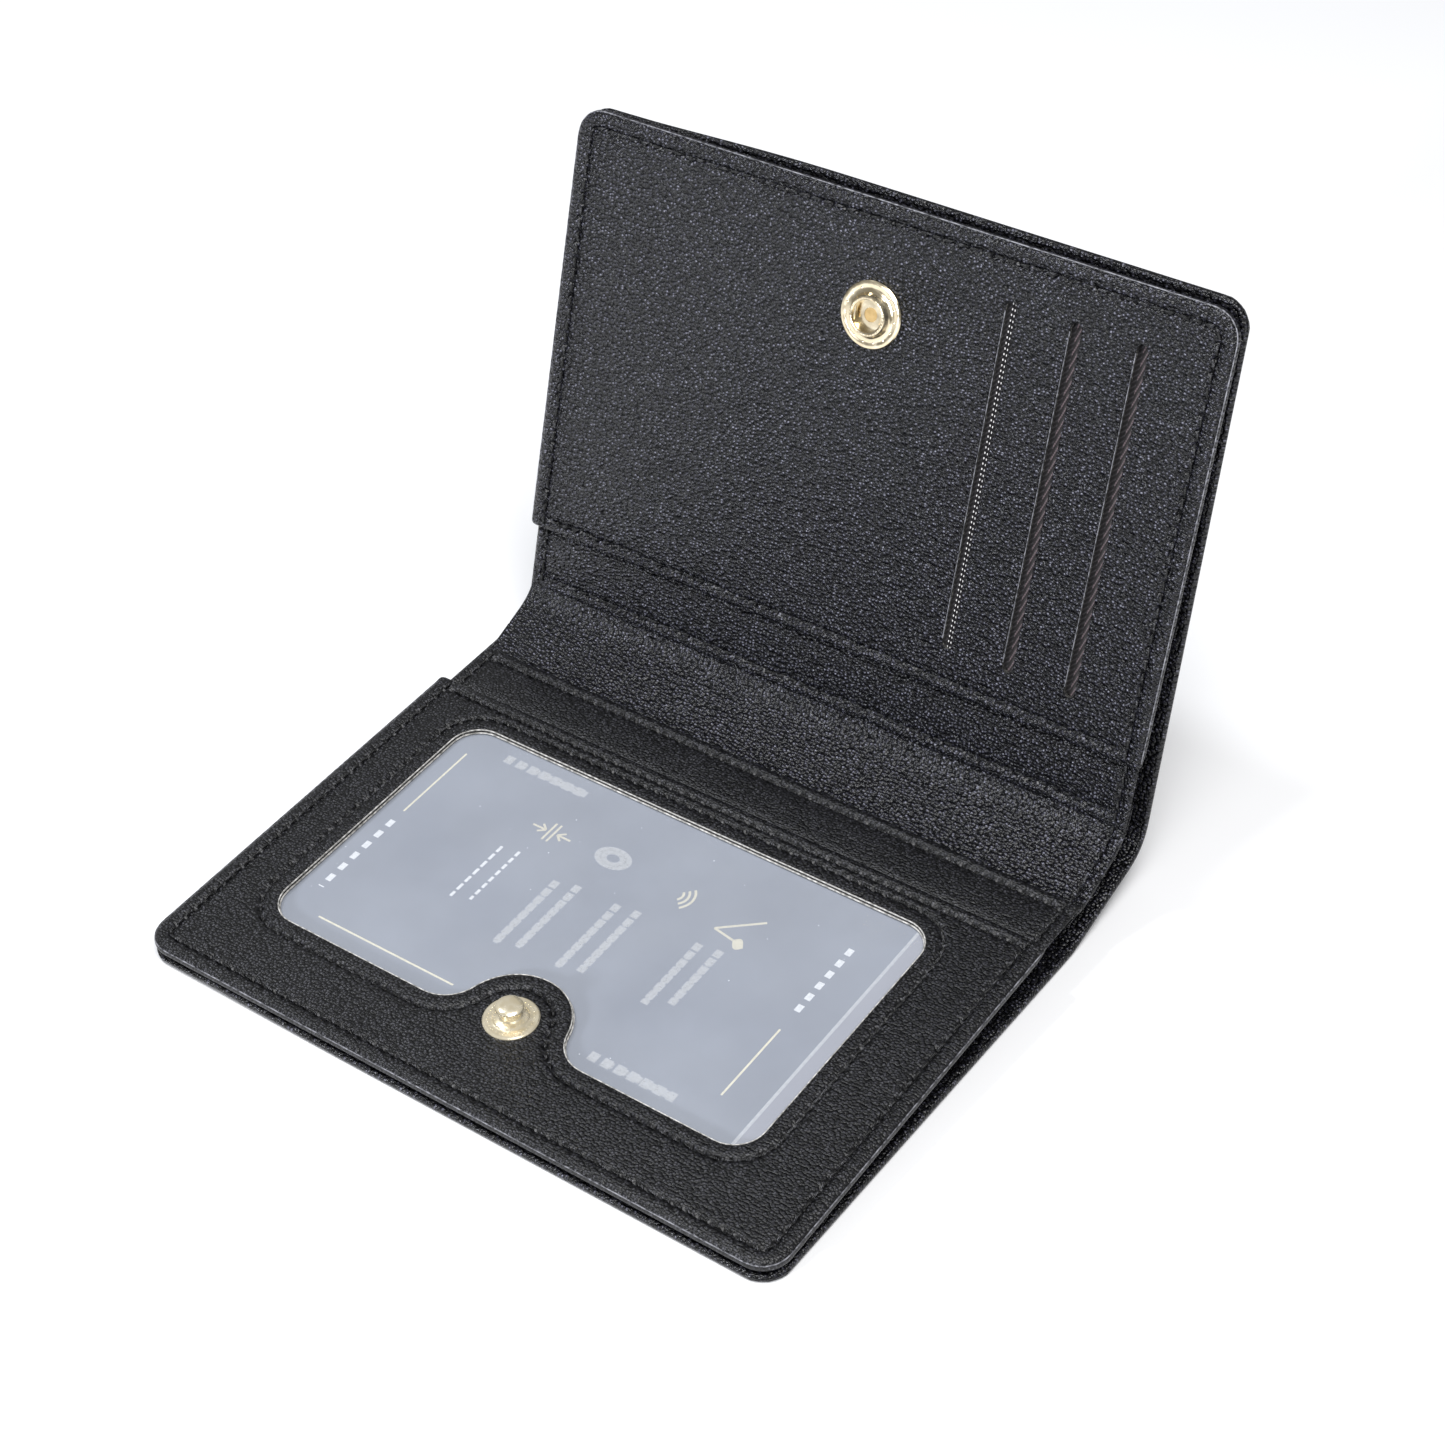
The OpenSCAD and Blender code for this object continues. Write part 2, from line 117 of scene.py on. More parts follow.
panel_lo, panel_hi = ID.span("id_window_panel")
sheet_lo, sheet_hi = ID.span("id_window_sheet")
card_lo, card_hi = ID.span("insert_card")
backing_lo, backing_hi = ID.span("id_backing")
liner_lo, liner_hi = SPINE.span("spine_liner")
stud_lo, stud_hi = ID.span("snap_stud")
socket_lo, socket_hi = SNAP.span("snap_socket")
HALF_L = panel_hi[0]
LEAF_W = panel_hi[1]
STEP = panel_lo[1]
LEATHER = -panel_lo[2]
POCKET_END, POCKET_TOP = ID.span("id_lower_pocket")[1][1:]
SNAP_S = (stud_lo[1] + stud_hi[1]) / 2
CHORD = (FOLD_B - FOLD_A).length

# ---- sizes in mm that the frame doesn't give ----

CORNER_R = 4.5
EDGE_SEAM, MOUTH_SEAM, WINDOW_SEAM = 2.7, 2.0, 2.7
STITCH_PITCH, STITCH_L, THREAD_R = 2.1, 1.6, 0.2
VALLEY_DEPTH, VALLEY_W = 0.68, 0.42
COVER_T, COVER_HEM = 0.85, 6.0
HEEL_TO_FOLD, HEEL_RISE, HEEL_L = 5.6, math.radians(16), 21.7
COVER_BEND = {"id": 10.8, "snap": 21}  # a distance from the cover's middle for each half, passed to bend_with
RAMP_W, RAMP_END = 14, 5
END_INSET = 0.7
BACKING_START = 5.4
LINER_BEND, LINER_T = 4.5, 0.7  # a distance short of the liner's ends, passed to bend_with
LINING_T = backing_hi[2] - backing_lo[2]
SEAM_DROP = backing_lo[2] - 0.05

# ---- outlines ----


class Outline:
    """A closed loop of arcs joined by straight lines. arcs(grow) lists (cx, cy, r, from, to)."""

    def __init__(self, arcs, spacing=0.9):
        self.arcs = arcs
        base = arcs(0)
        self.turns = [max(3, round(abs(a[4] - a[3]) * max(a[2], 0.8) / spacing)) for a in base]
        gaps = [math.dist(self.tip(a, 4), self.tip(b, 3)) for a, b in zip(base, base[1:] + base[:1])]
        self.fill = [max(0, round(g / spacing) - 1) for g in gaps]

    @staticmethod
    def tip(arc, end):
        return arc[0] + arc[2] * math.cos(arc[end]), arc[1] + arc[2] * math.sin(arc[end])

    def loop(self, grow=0.0):
        arcs, points = self.arcs(grow), []
        for k, arc in enumerate(arcs):
            for i in range(self.turns[k] + 1):
                a = arc[3] + (arc[4] - arc[3]) * i / self.turns[k]
                points.append((arc[0] + arc[2] * math.cos(a), arc[1] + arc[2] * math.sin(a)))
            p, q = points[-1], self.tip(arcs[(k + 1) % len(arcs)], 3)
            for i in range(1, self.fill[k] + 1):
                f = i / (self.fill[k] + 1)
                points.append((p[0] + (q[0] - p[0]) * f, p[1] + (q[1] - p[1]) * f))
        return np.array(points)


def rounded(x0, x1, s0, s1, r_low, r_high, cut=None):
    """A rectangle with round corners, which a negative grow insets. The cut side stays put."""

    def arcs(grow):
        low, high = max(r_low + grow, 0.15), max(r_high + grow, 0.15)
        a, b = x0 - grow, x1 + grow
        c = s0 if cut == "low" else s0 - grow
        d = s1 if cut == "high" else s1 + grow
        h = math.pi / 2
        return [
            (a + low, c + low, low, 2 * h, 3 * h),
            (b - low, c + low, low, 3 * h, 4 * h),
            (b - high, d - high, high, 0, h),
            (a + high, d - high, high, h, 2 * h),
        ]

    return Outline(arcs)


WINDOW_LEFT, WINDOW_RIGHT, WINDOW_FREE, WINDOW_MOUTH = 11.6, 14.6, 14.6, 6.5
WINDOW_R, TAB_R, TAB_FILLET_R = 5, 8.8, 6


def window_arcs(grow):
    """The window with its tab round the stud."""
    x0, x1 = WINDOW_LEFT - HALF_L, HALF_L - WINDOW_RIGHT
    top, low = LEAF_W - WINDOW_FREE, STEP + WINDOW_MOUTH
    drop = TAB_FILLET_R + SNAP_S - top
    lean = math.asin(drop / (TAB_R + TAB_FILLET_R))
    reach = (TAB_R + TAB_FILLET_R) * math.cos(lean)
    r, fillet, tab, h = WINDOW_R + grow, TAB_FILLET_R + grow, TAB_R - grow, math.pi / 2
    return [
        (x0 + WINDOW_R, low + WINDOW_R, r, 2 * h, 3 * h),
        (x1 - WINDOW_R, low + WINDOW_R, r, 3 * h, 4 * h),
        (x1 - WINDOW_R, top - WINDOW_R, r, 0, h),
        (reach, top - TAB_FILLET_R, fillet, h, 2 * h - lean),
        (0, SNAP_S, tab, -lean, lean - 2 * h),
        (-reach, top - TAB_FILLET_R, fillet, lean, h),
        (x0 + WINDOW_R, top - WINDOW_R, r, h, 2 * h),
    ]


def u_row(x0, x1, s0, s1, inset, r):
    """An open row along the left end, the free edge and the right end."""
    a, b, d, r = x0 + inset, x1 - inset, s1 - inset, max(r - inset, 0.8)
    turn = np.linspace(math.pi, math.pi / 2, 6)
    left = [(a + r + r * math.cos(t), d - r + r * math.sin(t)) for t in turn]
    right = [(b - r - r * math.cos(t), d - r + r * math.sin(t)) for t in turn[::-1]]
    return np.array([(a, s0)] + left + right + [(b, s0)])


def spaced(path, step, closed=False):
    """Points a step apart along a polyline, and the tangents there."""
    path = np.vstack([path, path[:1]]) if closed else path
    run = np.linalg.norm(np.diff(path, axis=0), axis=1)
    dist = np.concatenate([[0], np.cumsum(run)])
    count = max(1, round(dist[-1] / step))
    u = (np.arange(count) + 0.5) * dist[-1] / count
    points = np.stack([np.interp(u, dist, path[:, k]) for k in range(path.shape[1])], 1)
    leg = np.clip(np.searchsorted(dist, u) - 1, 0, len(run) - 1)
    tangents = np.diff(path, axis=0)[leg] / run[leg][:, None]
    return points, tangents


def distance(points, path, closed=False):
    """Distance of points to a polyline, and how far along it the nearest place is."""
    path = np.vstack([path, path[:1]]) if closed else path
    best, where = np.full(len(points), 1e9), np.zeros(len(points))
    start = 0.0
    for p, q in zip(path[:-1], path[1:]):
        leg = q - p
        size = math.hypot(*leg)
        if size < 1e-9:
            continue
        t = np.clip((points - p) @ leg / size**2, 0, 1)
        d = np.linalg.norm(points - p - t[:, None] * leg, axis=1)
        near = d < best
        best[near], where[near] = d[near], start + t[near] * size
        start += size
    return best, where


def inside(points, loop):
    """Which points lie in a closed loop, by counting crossings."""
    hit = np.zeros(len(points), bool)
    for p, q in zip(loop, np.roll(loop, -1, axis=0)):
        if p[1] == q[1]:
            continue
        cross = (p[1] > points[:, 1]) != (q[1] > points[:, 1])
        at = p[0] + (points[:, 1] - p[1]) / (q[1] - p[1]) * (q[0] - p[0])
        hit ^= cross & (points[:, 0] < at)
    return hit


def smooth(x, lo, hi):
    t = np.clip((x - lo) / (hi - lo), 0, 1)
    return t * t * (3 - 2 * t)


def swell(x, a, b, c, d):
    """Rises from 0 to 1 between a and b and falls back between c and d."""
    return smooth(x, a, b) * (1 - smooth(x, c, d))


def points_at(xs, ss):
    return np.stack(np.meshgrid(xs, ss), -1).reshape(-1, 2)


def wander(points, size, seed):
    """Slow noise over the plane, from -1 to 1, with waves of about the given size in mm."""
    return np.array([noise.noise(Vector((x / size, y / size, seed))) for x, y in points])


# ---- mesh makers ----

RING_GAP = 0.25  # how near a ring a free point of a ply may lie
UNDER_UV = 200  # how far the underside's UVs lie from the top's
SEAM_OFFSETS = (-1.1, -0.65, -0.4, -0.2, 0, 0.2, 0.4, 0.65, 1.1)


def finish_mesh(name, verts, faces, materials, index=None, uv=None, sharp=40):
    """An object from world points in mm, with smooth shading and faces turned outwards."""
    mesh = bpy.data.meshes.new(name)
    mesh.from_pydata((np.asarray(verts) * MM).tolist(), [], faces)
    for m in materials:
        mesh.materials.append(m)
    if index is not None:
        mesh.polygons.foreach_set("material_index", index)
    if uv is not None:
        layer = mesh.uv_layers.new(name="UVMap")
        corner = np.zeros(len(mesh.loops), int)
        mesh.loops.foreach_get("vertex_index", corner)
        layer.data.foreach_set("uv", (np.asarray(uv)[corner] * MM).astype(np.float32).ravel())
    bm = bmesh.new()
    bm.from_mesh(mesh)
    bmesh.ops.recalc_face_normals(bm, faces=bm.faces)
    bm.to_mesh(mesh)
    bm.free()
    mesh.shade_smooth()
    mesh.set_sharp_from_angle(angle=math.radians(sharp))
    obj = bpy.data.objects.new(name, mesh)
    bpy.context.scene.collection.objects.link(obj)
    return obj


def piece(name, place, verts, faces, material, sharp=40):
    """An object from local points (x, s, n), with x and s as its UVs."""
    local = np.array(verts)
    return finish_mesh(name, place(*local.T), faces, [material], uv=local[:, :2], sharp=sharp)


def bands(rows, sides, start=0, closed=False):
    """Quads between rows of points, each a ring of sides points, and round to the first if closed."""
    faces = []
    for i in range(rows if closed else rows - 1):
        a, b = start + i * sides, start + (i + 1) % rows * sides
        faces += [(a + j, a + (j + 1) % sides, b + (j + 1) % sides, b + j) for j in range(sides)]
    return faces


def caps(rows, sides):
    """The faces that close the first and the last ring."""
    return [tuple(range(sides)), tuple((rows - 1) * sides + j for j in reversed(range(sides)))]


def slab(name, place, outer, top, bottom, materials, insets=(0, 0.3), holes=(), grows=(0,), extra=(),
         grid=2.4, open_edge=None):
    """A closed ply. outer and holes are Outlines, insets and grows the rings drawn inside and
    round them, extra more points, and top and bottom give n from points and distances to the
    outer edge and to the nearest hole. Faces between the two sides of a hole are cut edges."""
    edge = outer.loop() if open_edge is None else open_edge
    groups = [[outer.loop(-i) for i in insets]] + [[h.loop(g) for g in grows] for h in holes]
    last_outer, *last_holes = [rings[-1] for rings in groups]
    lo, hi = last_outer.min(0), last_outer.max(0)
    xs, ys = np.meshgrid(np.arange(lo[0], hi[0], grid), np.arange(lo[1], hi[1], grid))
    xs = xs + (np.arange(xs.shape[0])[:, None] % 2) * grid / 2
    free = np.vstack([np.stack([xs.ravel(), ys.ravel()], 1), *extra])
    keep = inside(free, last_outer) & (distance(free, last_outer, True)[0] > RING_GAP)
    for loop in last_holes:
        keep &= ~inside(free, loop) & (distance(free, loop, True)[0] > RING_GAP)
    points = np.vstack([np.vstack(rings) for rings in groups] + [free[keep]])

    faces, walls, fills, start = [], [], [], 0
    for rings in groups:
        size = len(rings[0])
        faces += bands(len(rings), size, start)
        walls.append(range(start, start + size))
        start += size * len(rings)
        fills.append(range(start - size, start))
    used = [i for loop in fills for i in loop] + list(range(start, len(points)))
    back = {i: k for k, i in enumerate(used)}
    edges = [(back[a], back[loop[(i + 1) % len(loop)]]) for loop in fills for i, a in enumerate(loop)]
    made = delaunay_2d_cdt([Vector(points[i]) for i in used], edges, [], 0, 1e-6)
    tris = np.array([[used[made[3][v][0]] for v in f] for f in made[2]])
    centre = points[tris].mean(1)
    good = inside(centre, last_outer)
    for loop in last_holes:
        good &= ~inside(centre, loop)
    faces += [tuple(t) for t in tris[good].tolist()]

    d = distance(points, edge, open_edge is None)[0]
    g = np.full(len(points), 1e3)
    for hole in holes:
        g = np.minimum(g, distance(points, hole.loop(), True)[0])
    n = len(points)
    verts = np.vstack([place(*points.T, face(points, d, g)) for face in (top, bottom)])
    under = [tuple(v + n for v in reversed(f)) for f in faces]
    index = [0] * (2 * len(faces))
    sides = []
    for k, wall in enumerate(walls):
        sides += [(a, b, b + n, a + n) for a, b in zip(wall, [*wall[1:], wall[0]])]
        index += [len(materials) - 1 if k else 0] * len(wall)
    uv = np.vstack([points, points + UNDER_UV])
    return finish_mesh(name, verts, faces + under + sides, materials, index, uv)


def seam_points(row, closed=False):
    """Points along and beside a row of stitches, so that its valley has enough of them."""
    points, tangents = spaced(row, 0.42, closed)
    across = np.stack([-tangents[:, 1], tangents[:, 0]], 1)
    return np.vstack([points + across * off for off in SEAM_OFFSETS])


def valleys(points, rows):
    """Depth of the leather drawn down along rows of stitches, puckered from stitch to stitch."""
    depth = np.zeros(len(points))
    for row, closed in rows:
        d, u = distance(points, row, closed)
        pucker = 0.62 + 0.38 * np.cos(2 * math.pi * u / STITCH_PITCH)
        depth = np.maximum(depth, VALLEY_DEPTH * pucker * np.exp(-((d / VALLEY_W) ** 2)))
    return depth


def stitches(name, rows, place, height):
    """Rows of twisted stitches that dip into the leather at both ends. rows are (path, closed)."""
    sides, steps = 8, 8
    verts, faces = [], []
    for row, closed in rows:
        points, tangents = spaced(row, STITCH_PITCH, closed)
        for (x, s), (tx, ts), n0 in zip(points, tangents, height(points)):
            slant = math.radians(rng.uniform(3, 11))
            length = STITCH_L * rng.uniform(0.93, 1.05) / 2
            radius = THREAD_R * rng.uniform(0.92, 1.08)
            cx = tx * math.cos(slant) - ts * math.sin(slant)
            cs = tx * math.sin(slant) + ts * math.cos(slant)
            base = len(verts)
            for k in range(steps + 1):
                v = k / steps * 2 - 1
                full = math.sqrt(max(1 - v**4, 0.04))
                lift = n0 + 0.2 - 0.36 * v**4
                for j in range(sides):
                    a = 2 * math.pi * j / sides
                    r = radius * full * (1 + 0.14 * math.cos(2 * a - 5.5 * v))
                    side, out = r * math.cos(a), r * math.sin(a)
                    verts.append((x + cx * v * length - cs * side, s + cs * v * length + cx * side,
                                  lift + out))
            faces += bands(steps + 1, sides, base)
            faces.append(tuple(base + j for j in reversed(range(sides))))
            faces.append(tuple(base + steps * sides + j for j in range(sides)))
    return piece(name, place, verts, faces, thread, sharp=80)


def turned(profile, turns, closed=True):
    """A profile of (r, z) turned round the z axis. An open one starts and ends near the axis."""
    m, verts = len(profile), []
    for i in range(turns):
        a = 2 * math.pi * i / turns
        verts += [(r * math.cos(a), r * math.sin(a), z) for r, z in profile]
    faces = bands(turns, m, closed=True)
    if not closed:
        faces = [f for k, f in enumerate(faces) if (k + 1) % m]
        faces += [tuple(i * m for i in reversed(range(turns))), tuple(i * m + m - 1 for i in range(turns))]
    return verts, faces


def bead(centre, r, squash, sides=8):
    """A small ball, flattened along z."""
    verts, rows = [], sides // 2
    for i in range(rows + 1):
        phi = math.pi * i / rows
        rr = max(math.sin(phi), 0.02) * r
        for j in range(sides):
            a = 2 * math.pi * j / sides
            verts.append((centre[0] + rr * math.cos(a), centre[1] + rr * math.sin(a),
                          centre[2] + r * squash * math.cos(phi)))
    return verts, bands(rows + 1, sides) + caps(rows + 1, sides)


def joined(parts):
    """Several (verts, faces) as one."""
    verts, faces = [], []
    for v, f in parts:
        faces += [tuple(i + len(verts) for i in face) for face in f]
        verts += list(v)
    return verts, faces


def strip_mark(outline, z0, z1):
    """A flat printed shape from a closed list of (x, s), with a little thickness."""
    n = len(outline)
    verts = [(x, s, z1) for x, s in outline] + [(x, s, z0) for x, s in outline]
    faces = [tuple(range(n)), tuple(reversed(range(n, 2 * n)))]
    faces += [(i, (i + 1) % n, (i + 1) % n + n, i + n) for i in range(n)]
    return verts, faces


# ---- materials ----


class Shader:
    """A node material with its Principled shader, and short ways to add nodes."""

    def __init__(self, name, **sockets):
        self.m = bpy.data.materials.new(name)
        self.m.use_nodes = True
        self.tree = self.m.node_tree
        self.main = next(n for n in self.tree.nodes if n.type == "BSDF_PRINCIPLED")
        for key, value in sockets.items():
            self.main.inputs[key.replace("_", " ")].default_value = value

    def node(self, kind, links=(), **values):
        made = self.tree.nodes.new("ShaderNode" + kind)
        for key, value in values.items():
            if isinstance(key, str) and hasattr(made, key):
                setattr(made, key, value)
            else:
                made.inputs[key.replace("_", " ")].default_value = value
        for socket, source in dict(links).items():
            self.tree.links.new(source, made.inputs[socket])
        return made

    def uv(self, scale=(1, 1, 1), turn=0.0):
        place = self.node("Mapping", {"Vector": self.node("TexCoord").outputs["UV"]})
        place.inputs["Scale"].default_value = scale
        place.inputs["Rotation"].default_value = (0, 0, turn)
        return place.outputs["Vector"]

    def solid(self):
        return self.node("TexCoord").outputs["Object"]

    def noise(self, vector, scale, detail=2.0, **values):
        made = self.node("TexNoise", {"Vector": vector}, Scale=scale, Detail=detail, **values)
        return made.outputs["Fac"]

    def ramp(self, source, stops):
        made = self.node("ValToRGB", {"Fac": source})
        for k, (pos, colour) in enumerate(stops):
            e = made.color_ramp.elements[k] if k < 2 else made.color_ramp.elements.new(pos)
            e.position = pos
            e.color = (*colour, 1)
        return made.outputs["Color"]

    def math(self, what, a, b):
        made = self.node("Math", operation=what)
        for k, value in enumerate((a, b)):
            if isinstance(value, (int, float)):
                made.inputs[k].default_value = value
            else:
                self.tree.links.new(value, made.inputs[k])
        return made.outputs[0]

    def remap(self, source, a, b, c, d):
        made = self.node("MapRange", {"Value": source})
        for key, value in zip(("From Min", "From Max", "To Min", "To Max"), (a, b, c, d)):
            made.inputs[key].default_value = value
        return made.outputs["Result"]

    def set(self, socket, source):
        self.tree.links.new(source, self.main.inputs[socket])

    def bump(self, height, strength, reach):
        made = self.node("Bump", {"Height": height}, Strength=strength, Distance=reach)
        self.set("Normal", made.outputs["Normal"])


def leather(name, tone, grain, rough, pebble, painted_top_glint):
    """Dark pebbled leather. tone is its colour and pebble the pebbles' size in m. The last argument is the
    colour of a glint painted on the pebbles' tops, and the pebbles' edges are painted darker as crease
    shade."""
    s = Shader(name, Specular_IOR_Level=0.42)
    uv = s.uv((0.84, 1, 1))
    drift = s.node("TexNoise", {"Vector": uv}, Scale=0.6 / pebble, Detail=2.0)
    warp = s.node("VectorMath", {0: drift.outputs["Color"]}, operation="SCALE")
    warp.inputs["Scale"].default_value = pebble * 0.5
    bent = s.node("VectorMath", {0: uv, 1: warp.outputs[0]}, operation="ADD").outputs[0]
    cells = s.node("TexVoronoi", {"Vector": bent}, feature="F1", Scale=1 / pebble, Randomness=0.85)
    fine = s.noise(uv, 2.6 / pebble, 3.0, Roughness=0.6)
    broad = s.noise(uv, 90.0, 4.0, Roughness=0.6)
    chance = s.node("SeparateColor", {"Color": cells.outputs["Color"]}).outputs["Red"]
    reach = s.math("MULTIPLY", cells.outputs["Distance"], 1.35)
    dome = s.math("SUBTRACT", 1.0, s.math("MULTIPLY", reach, reach))
    height = s.math("ADD", dome, s.math("MULTIPLY", fine, 0.25))
    height = s.math("ADD", height, s.math("MULTIPLY", broad, 0.8))
    # painted glint and crease shade: a field high on each pebble's top and low at its edges, shifted at
    # random and in broad patches
    painted_glint_and_crease_shade = s.math("ADD", dome, s.remap(chance, 0, 1, -0.08, 0.05))
    painted_glint_and_crease_shade = s.math("ADD", painted_glint_and_crease_shade, s.remap(broad, 0.3, 0.7, -0.025, 0.025))
    dark, pale = (tuple(c * k for c in tone) for k in (0.12, 1.8))
    # the ramp paints the pebbles' edges dark as crease shade and their tops pale up to a painted glint; only
    # the middle tone is the leather's own colour
    s.set("Base Color", s.ramp(painted_glint_and_crease_shade, [(0.5, dark), (0.84, tone), (0.92, pale), (0.99, painted_top_glint)]))
    s.set("Roughness", s.remap(fine, 0.3, 0.7, *rough))
    s.bump(height, grain, pebble * 0.3)
    return s.m


def mottled(name, flat, scale, detail, stops, rough=None, bump=None, **sockets):
    """A material whose tone drifts with noise, over its UVs if flat, and its roughness and height
    with it where they are given."""
    s = Shader(name, **sockets)
    tone = s.noise(s.uv() if flat else s.solid(), scale, detail)
    s.set("Base Color", s.ramp(tone, stops))
    if rough:
        s.set("Roughness", s.remap(tone, 0.3, 0.7, *rough))
    if bump:
        s.bump(tone, *bump)
    return s.m


def edge_wear_and_highlight(name, dark, pale):
    """A pale line along an edge: partly the edge's worn colour and partly a painted highlight on it."""
    return mottled(name, False, 1500.0, 2.0, [(0.35, dark), (0.7, pale)], Roughness=0.4)


def thread_material():
    """Black twisted thread, with a few strands painted pale as glints."""
    s = Shader("black_thread", Sheen_Weight=0.1, Sheen_Roughness=0.4, Specular_IOR_Level=0.5)
    twist = s.node("TexWave", {"Vector": s.uv(turn=0.9)}, Scale=1500.0, Distortion=1.5).outputs["Fac"]
    few = s.noise(s.uv(), 1300.0, 1.0)
    painted_thread_glints = s.math("MULTIPLY", twist, s.remap(few, 0.45, 0.6, 0.3, 1.0))
    # painted glints: the pale last stop brightens a few strands in the colour
    s.set("Base Color", s.ramp(painted_thread_glints, [(0.5, (0.002, 0.002, 0.002)), (0.8, (0.01, 0.01, 0.012)),
                                         (0.95, (0.2, 0.2, 0.22))]))
    s.set("Roughness", s.remap(twist, 0.0, 1.0, 0.5, 0.3))
    s.bump(twist, 0.6, 0.0001)
    return s.m


def twill(name, dark, pale, pitch, turn, ends=(0.55, 0.95)):
    """Woven cloth with diagonal ribs. pitch is in metres."""
    s = Shader(name, Sheen_Weight=0.2, Specular_IOR_Level=0.3)
    ribs = s.node("TexWave", {"Vector": s.uv(turn=turn)}, Scale=0.314 / pitch, Distortion=0.4)
    weft = s.node("TexWave", {"Vector": s.uv(turn=turn + 1.2)}, Scale=0.628 / pitch, Distortion=0.3)
    weave = s.math("MULTIPLY", ribs.outputs["Fac"], s.remap(weft.outputs["Fac"], 0, 1, 0.8, 1.0))
    mixed = s.math("ADD", weave, s.math("MULTIPLY", s.noise(s.uv(), 2500.0), 0.1))
    s.set("Base Color", s.ramp(mixed, [(ends[0], dark), (ends[1], pale)]))
    s.set("Roughness", s.remap(weave, 0, 1, 0.85, 0.65))
    s.bump(mixed, 0.6, 0.0001)
    return s.m


def dotted_cloth():
    """Dark cloth with columns of small pale woven dots. The UV's X runs across the slit."""
    s = Shader("pocket_dots", Specular_IOR_Level=0.3, Roughness=0.7)
    split = s.node("SeparateXYZ", {"Vector": s.uv()})
    across = s.math("SINE", s.math("MULTIPLY", split.outputs["X"], 2 * math.pi / 0.00055), 0)
    along = s.math("SINE", s.math("MULTIPLY", split.outputs["Y"], 2 * math.pi / 0.00085), 0)
    dots = s.math("MULTIPLY", s.math("MAXIMUM", across, 0), s.math("MAXIMUM", along, 0))
    s.set("Base Color", s.ramp(dots, [(0.2, (0.006, 0.005, 0.006)), (0.5, (0.85, 0.83, 0.82))]))
    s.bump(dots, 0.7, 0.00012)
    return s.m


def gold(name, low, high, rough, metal=1.0):
    return mottled(name, False, 900.0, 3.0, [(0.3, low), (0.7, high)], rough, (0.06, 0.00005),
                   Metallic=metal)


def card_face(name, low, high):
    return mottled(name, True, 60.0, 3.0, [(0.3, low), (0.7, high)], bump=(0.05, 0.0001),
                   Specular_IOR_Level=0.3, Roughness=0.6)


def ink(name, colour, alpha):
    faded = tuple(c * 0.85 for c in colour)
    return mottled(name, True, 1800.0, 2.0, [(0.3, faded), (0.6, colour)], Roughness=0.5, Alpha=alpha)


def clear_plastic():
    """A flexible clear sheet, a little cloudy, with dust specks."""
    s = Shader("clear_sheet", Specular_IOR_Level=0.6, IOR=1.5, Coat_Weight=0.3, Coat_Roughness=0.06)
    uv = s.uv()
    specks = s.node("TexVoronoi", {"Vector": uv}, feature="F1", Scale=420.0, Randomness=1.0)
    dot = s.math("MULTIPLY", s.remap(specks.outputs["Distance"], 0.03, 0.06, 1.0, 0.0),
                 s.remap(s.noise(uv, 300.0), 0.5, 0.6, 0.0, 1.0))
    haze = s.noise(uv, 35.0, 4.0)
    s.set("Base Color", s.ramp(haze, [(0.3, (0.66, 0.7, 0.78)), (0.7, (0.78, 0.82, 0.88))]))
    s.set("Alpha", s.math("MAXIMUM", s.remap(haze, 0.3, 0.7, 0.1, 0.15), dot))
    s.set("Roughness", s.remap(haze, 0.3, 0.7, 0.09, 0.17))
    s.bump(s.noise(uv, 45.0, 1.0), 0.12, 0.001)
    return s.m


# the last colour of each leather is the glint painted on its pebbles' tops
panel_skin = leather("panel_leather", (0.013, 0.013, 0.0195), 1.0, (0.2, 0.3), 0.00054, (0.15, 0.15, 0.19))
matt_skin = leather("window_panel_leather", (0.015, 0.015, 0.0185), 0.65, (0.32, 0.44), 0.00044,
                    (0.085, 0.085, 0.095))
cover_skin = leather("cover_leather", (0.011, 0.011, 0.016), 0.9, (0.22, 0.32), 0.00054, (0.13, 0.13, 0.165))
raw_edge = mottled("leather_cut_edge", False, 2600.0, 3.0, bump=(0.7, 0.0001), Roughness=0.75, stops=[
    (0.45, (0.012, 0.012, 0.012)), (0.62, (0.07, 0.068, 0.062)), (0.72, (0.3, 0.29, 0.27))])
# both edge lines are partly the edge's worn colour and partly a painted highlight along the rolled or cut
# edge
pale_edge = edge_wear_and_highlight("trimmed_edge", (0.22, 0.215, 0.2), (0.75, 0.73, 0.7))
worn_edge_and_highlight = edge_wear_and_highlight("worn_edge_and_highlight", (0.03, 0.03, 0.035), (0.3, 0.3, 0.33))
thread = thread_material()
lining = twill("lining_twill", (0.006, 0.005, 0.006), (0.03, 0.027, 0.03), 0.0006, 0.8)
ribbed = twill("pocket_twill", (0.008, 0.005, 0.006), (0.15, 0.11, 0.12), 0.00082, 0.42, (0.66, 0.96))
dotted = dotted_cloth()
stud_gold = gold("pale_gold", (0.86, 0.75, 0.52), (0.97, 0.88, 0.68), (0.16, 0.3), 0.72)
socket_gold = gold("socket_gold", (0.68, 0.57, 0.38), (0.84, 0.74, 0.54), (0.1, 0.22))
# darkened brass for the rivets: painted shade inside the snap's holes
rivet_brass_painted_shade = gold("rivet_brass_painted_shade", (0.3, 0.2, 0.08), (0.45, 0.32, 0.15), (0.3, 0.5))

rng = random.Random(7)

# ---- the leaves ----

ROUND_STEPS = (0, 0.04, 0.12, 0.26, 0.45, 0.7, 1.0, 1.4)
CUT_STEPS = (0, 0.06, 0.15, 0.3, 0.6, 1.1)
END_R, CUT_R = 0.95, 0.12
HEM_W = 1.4


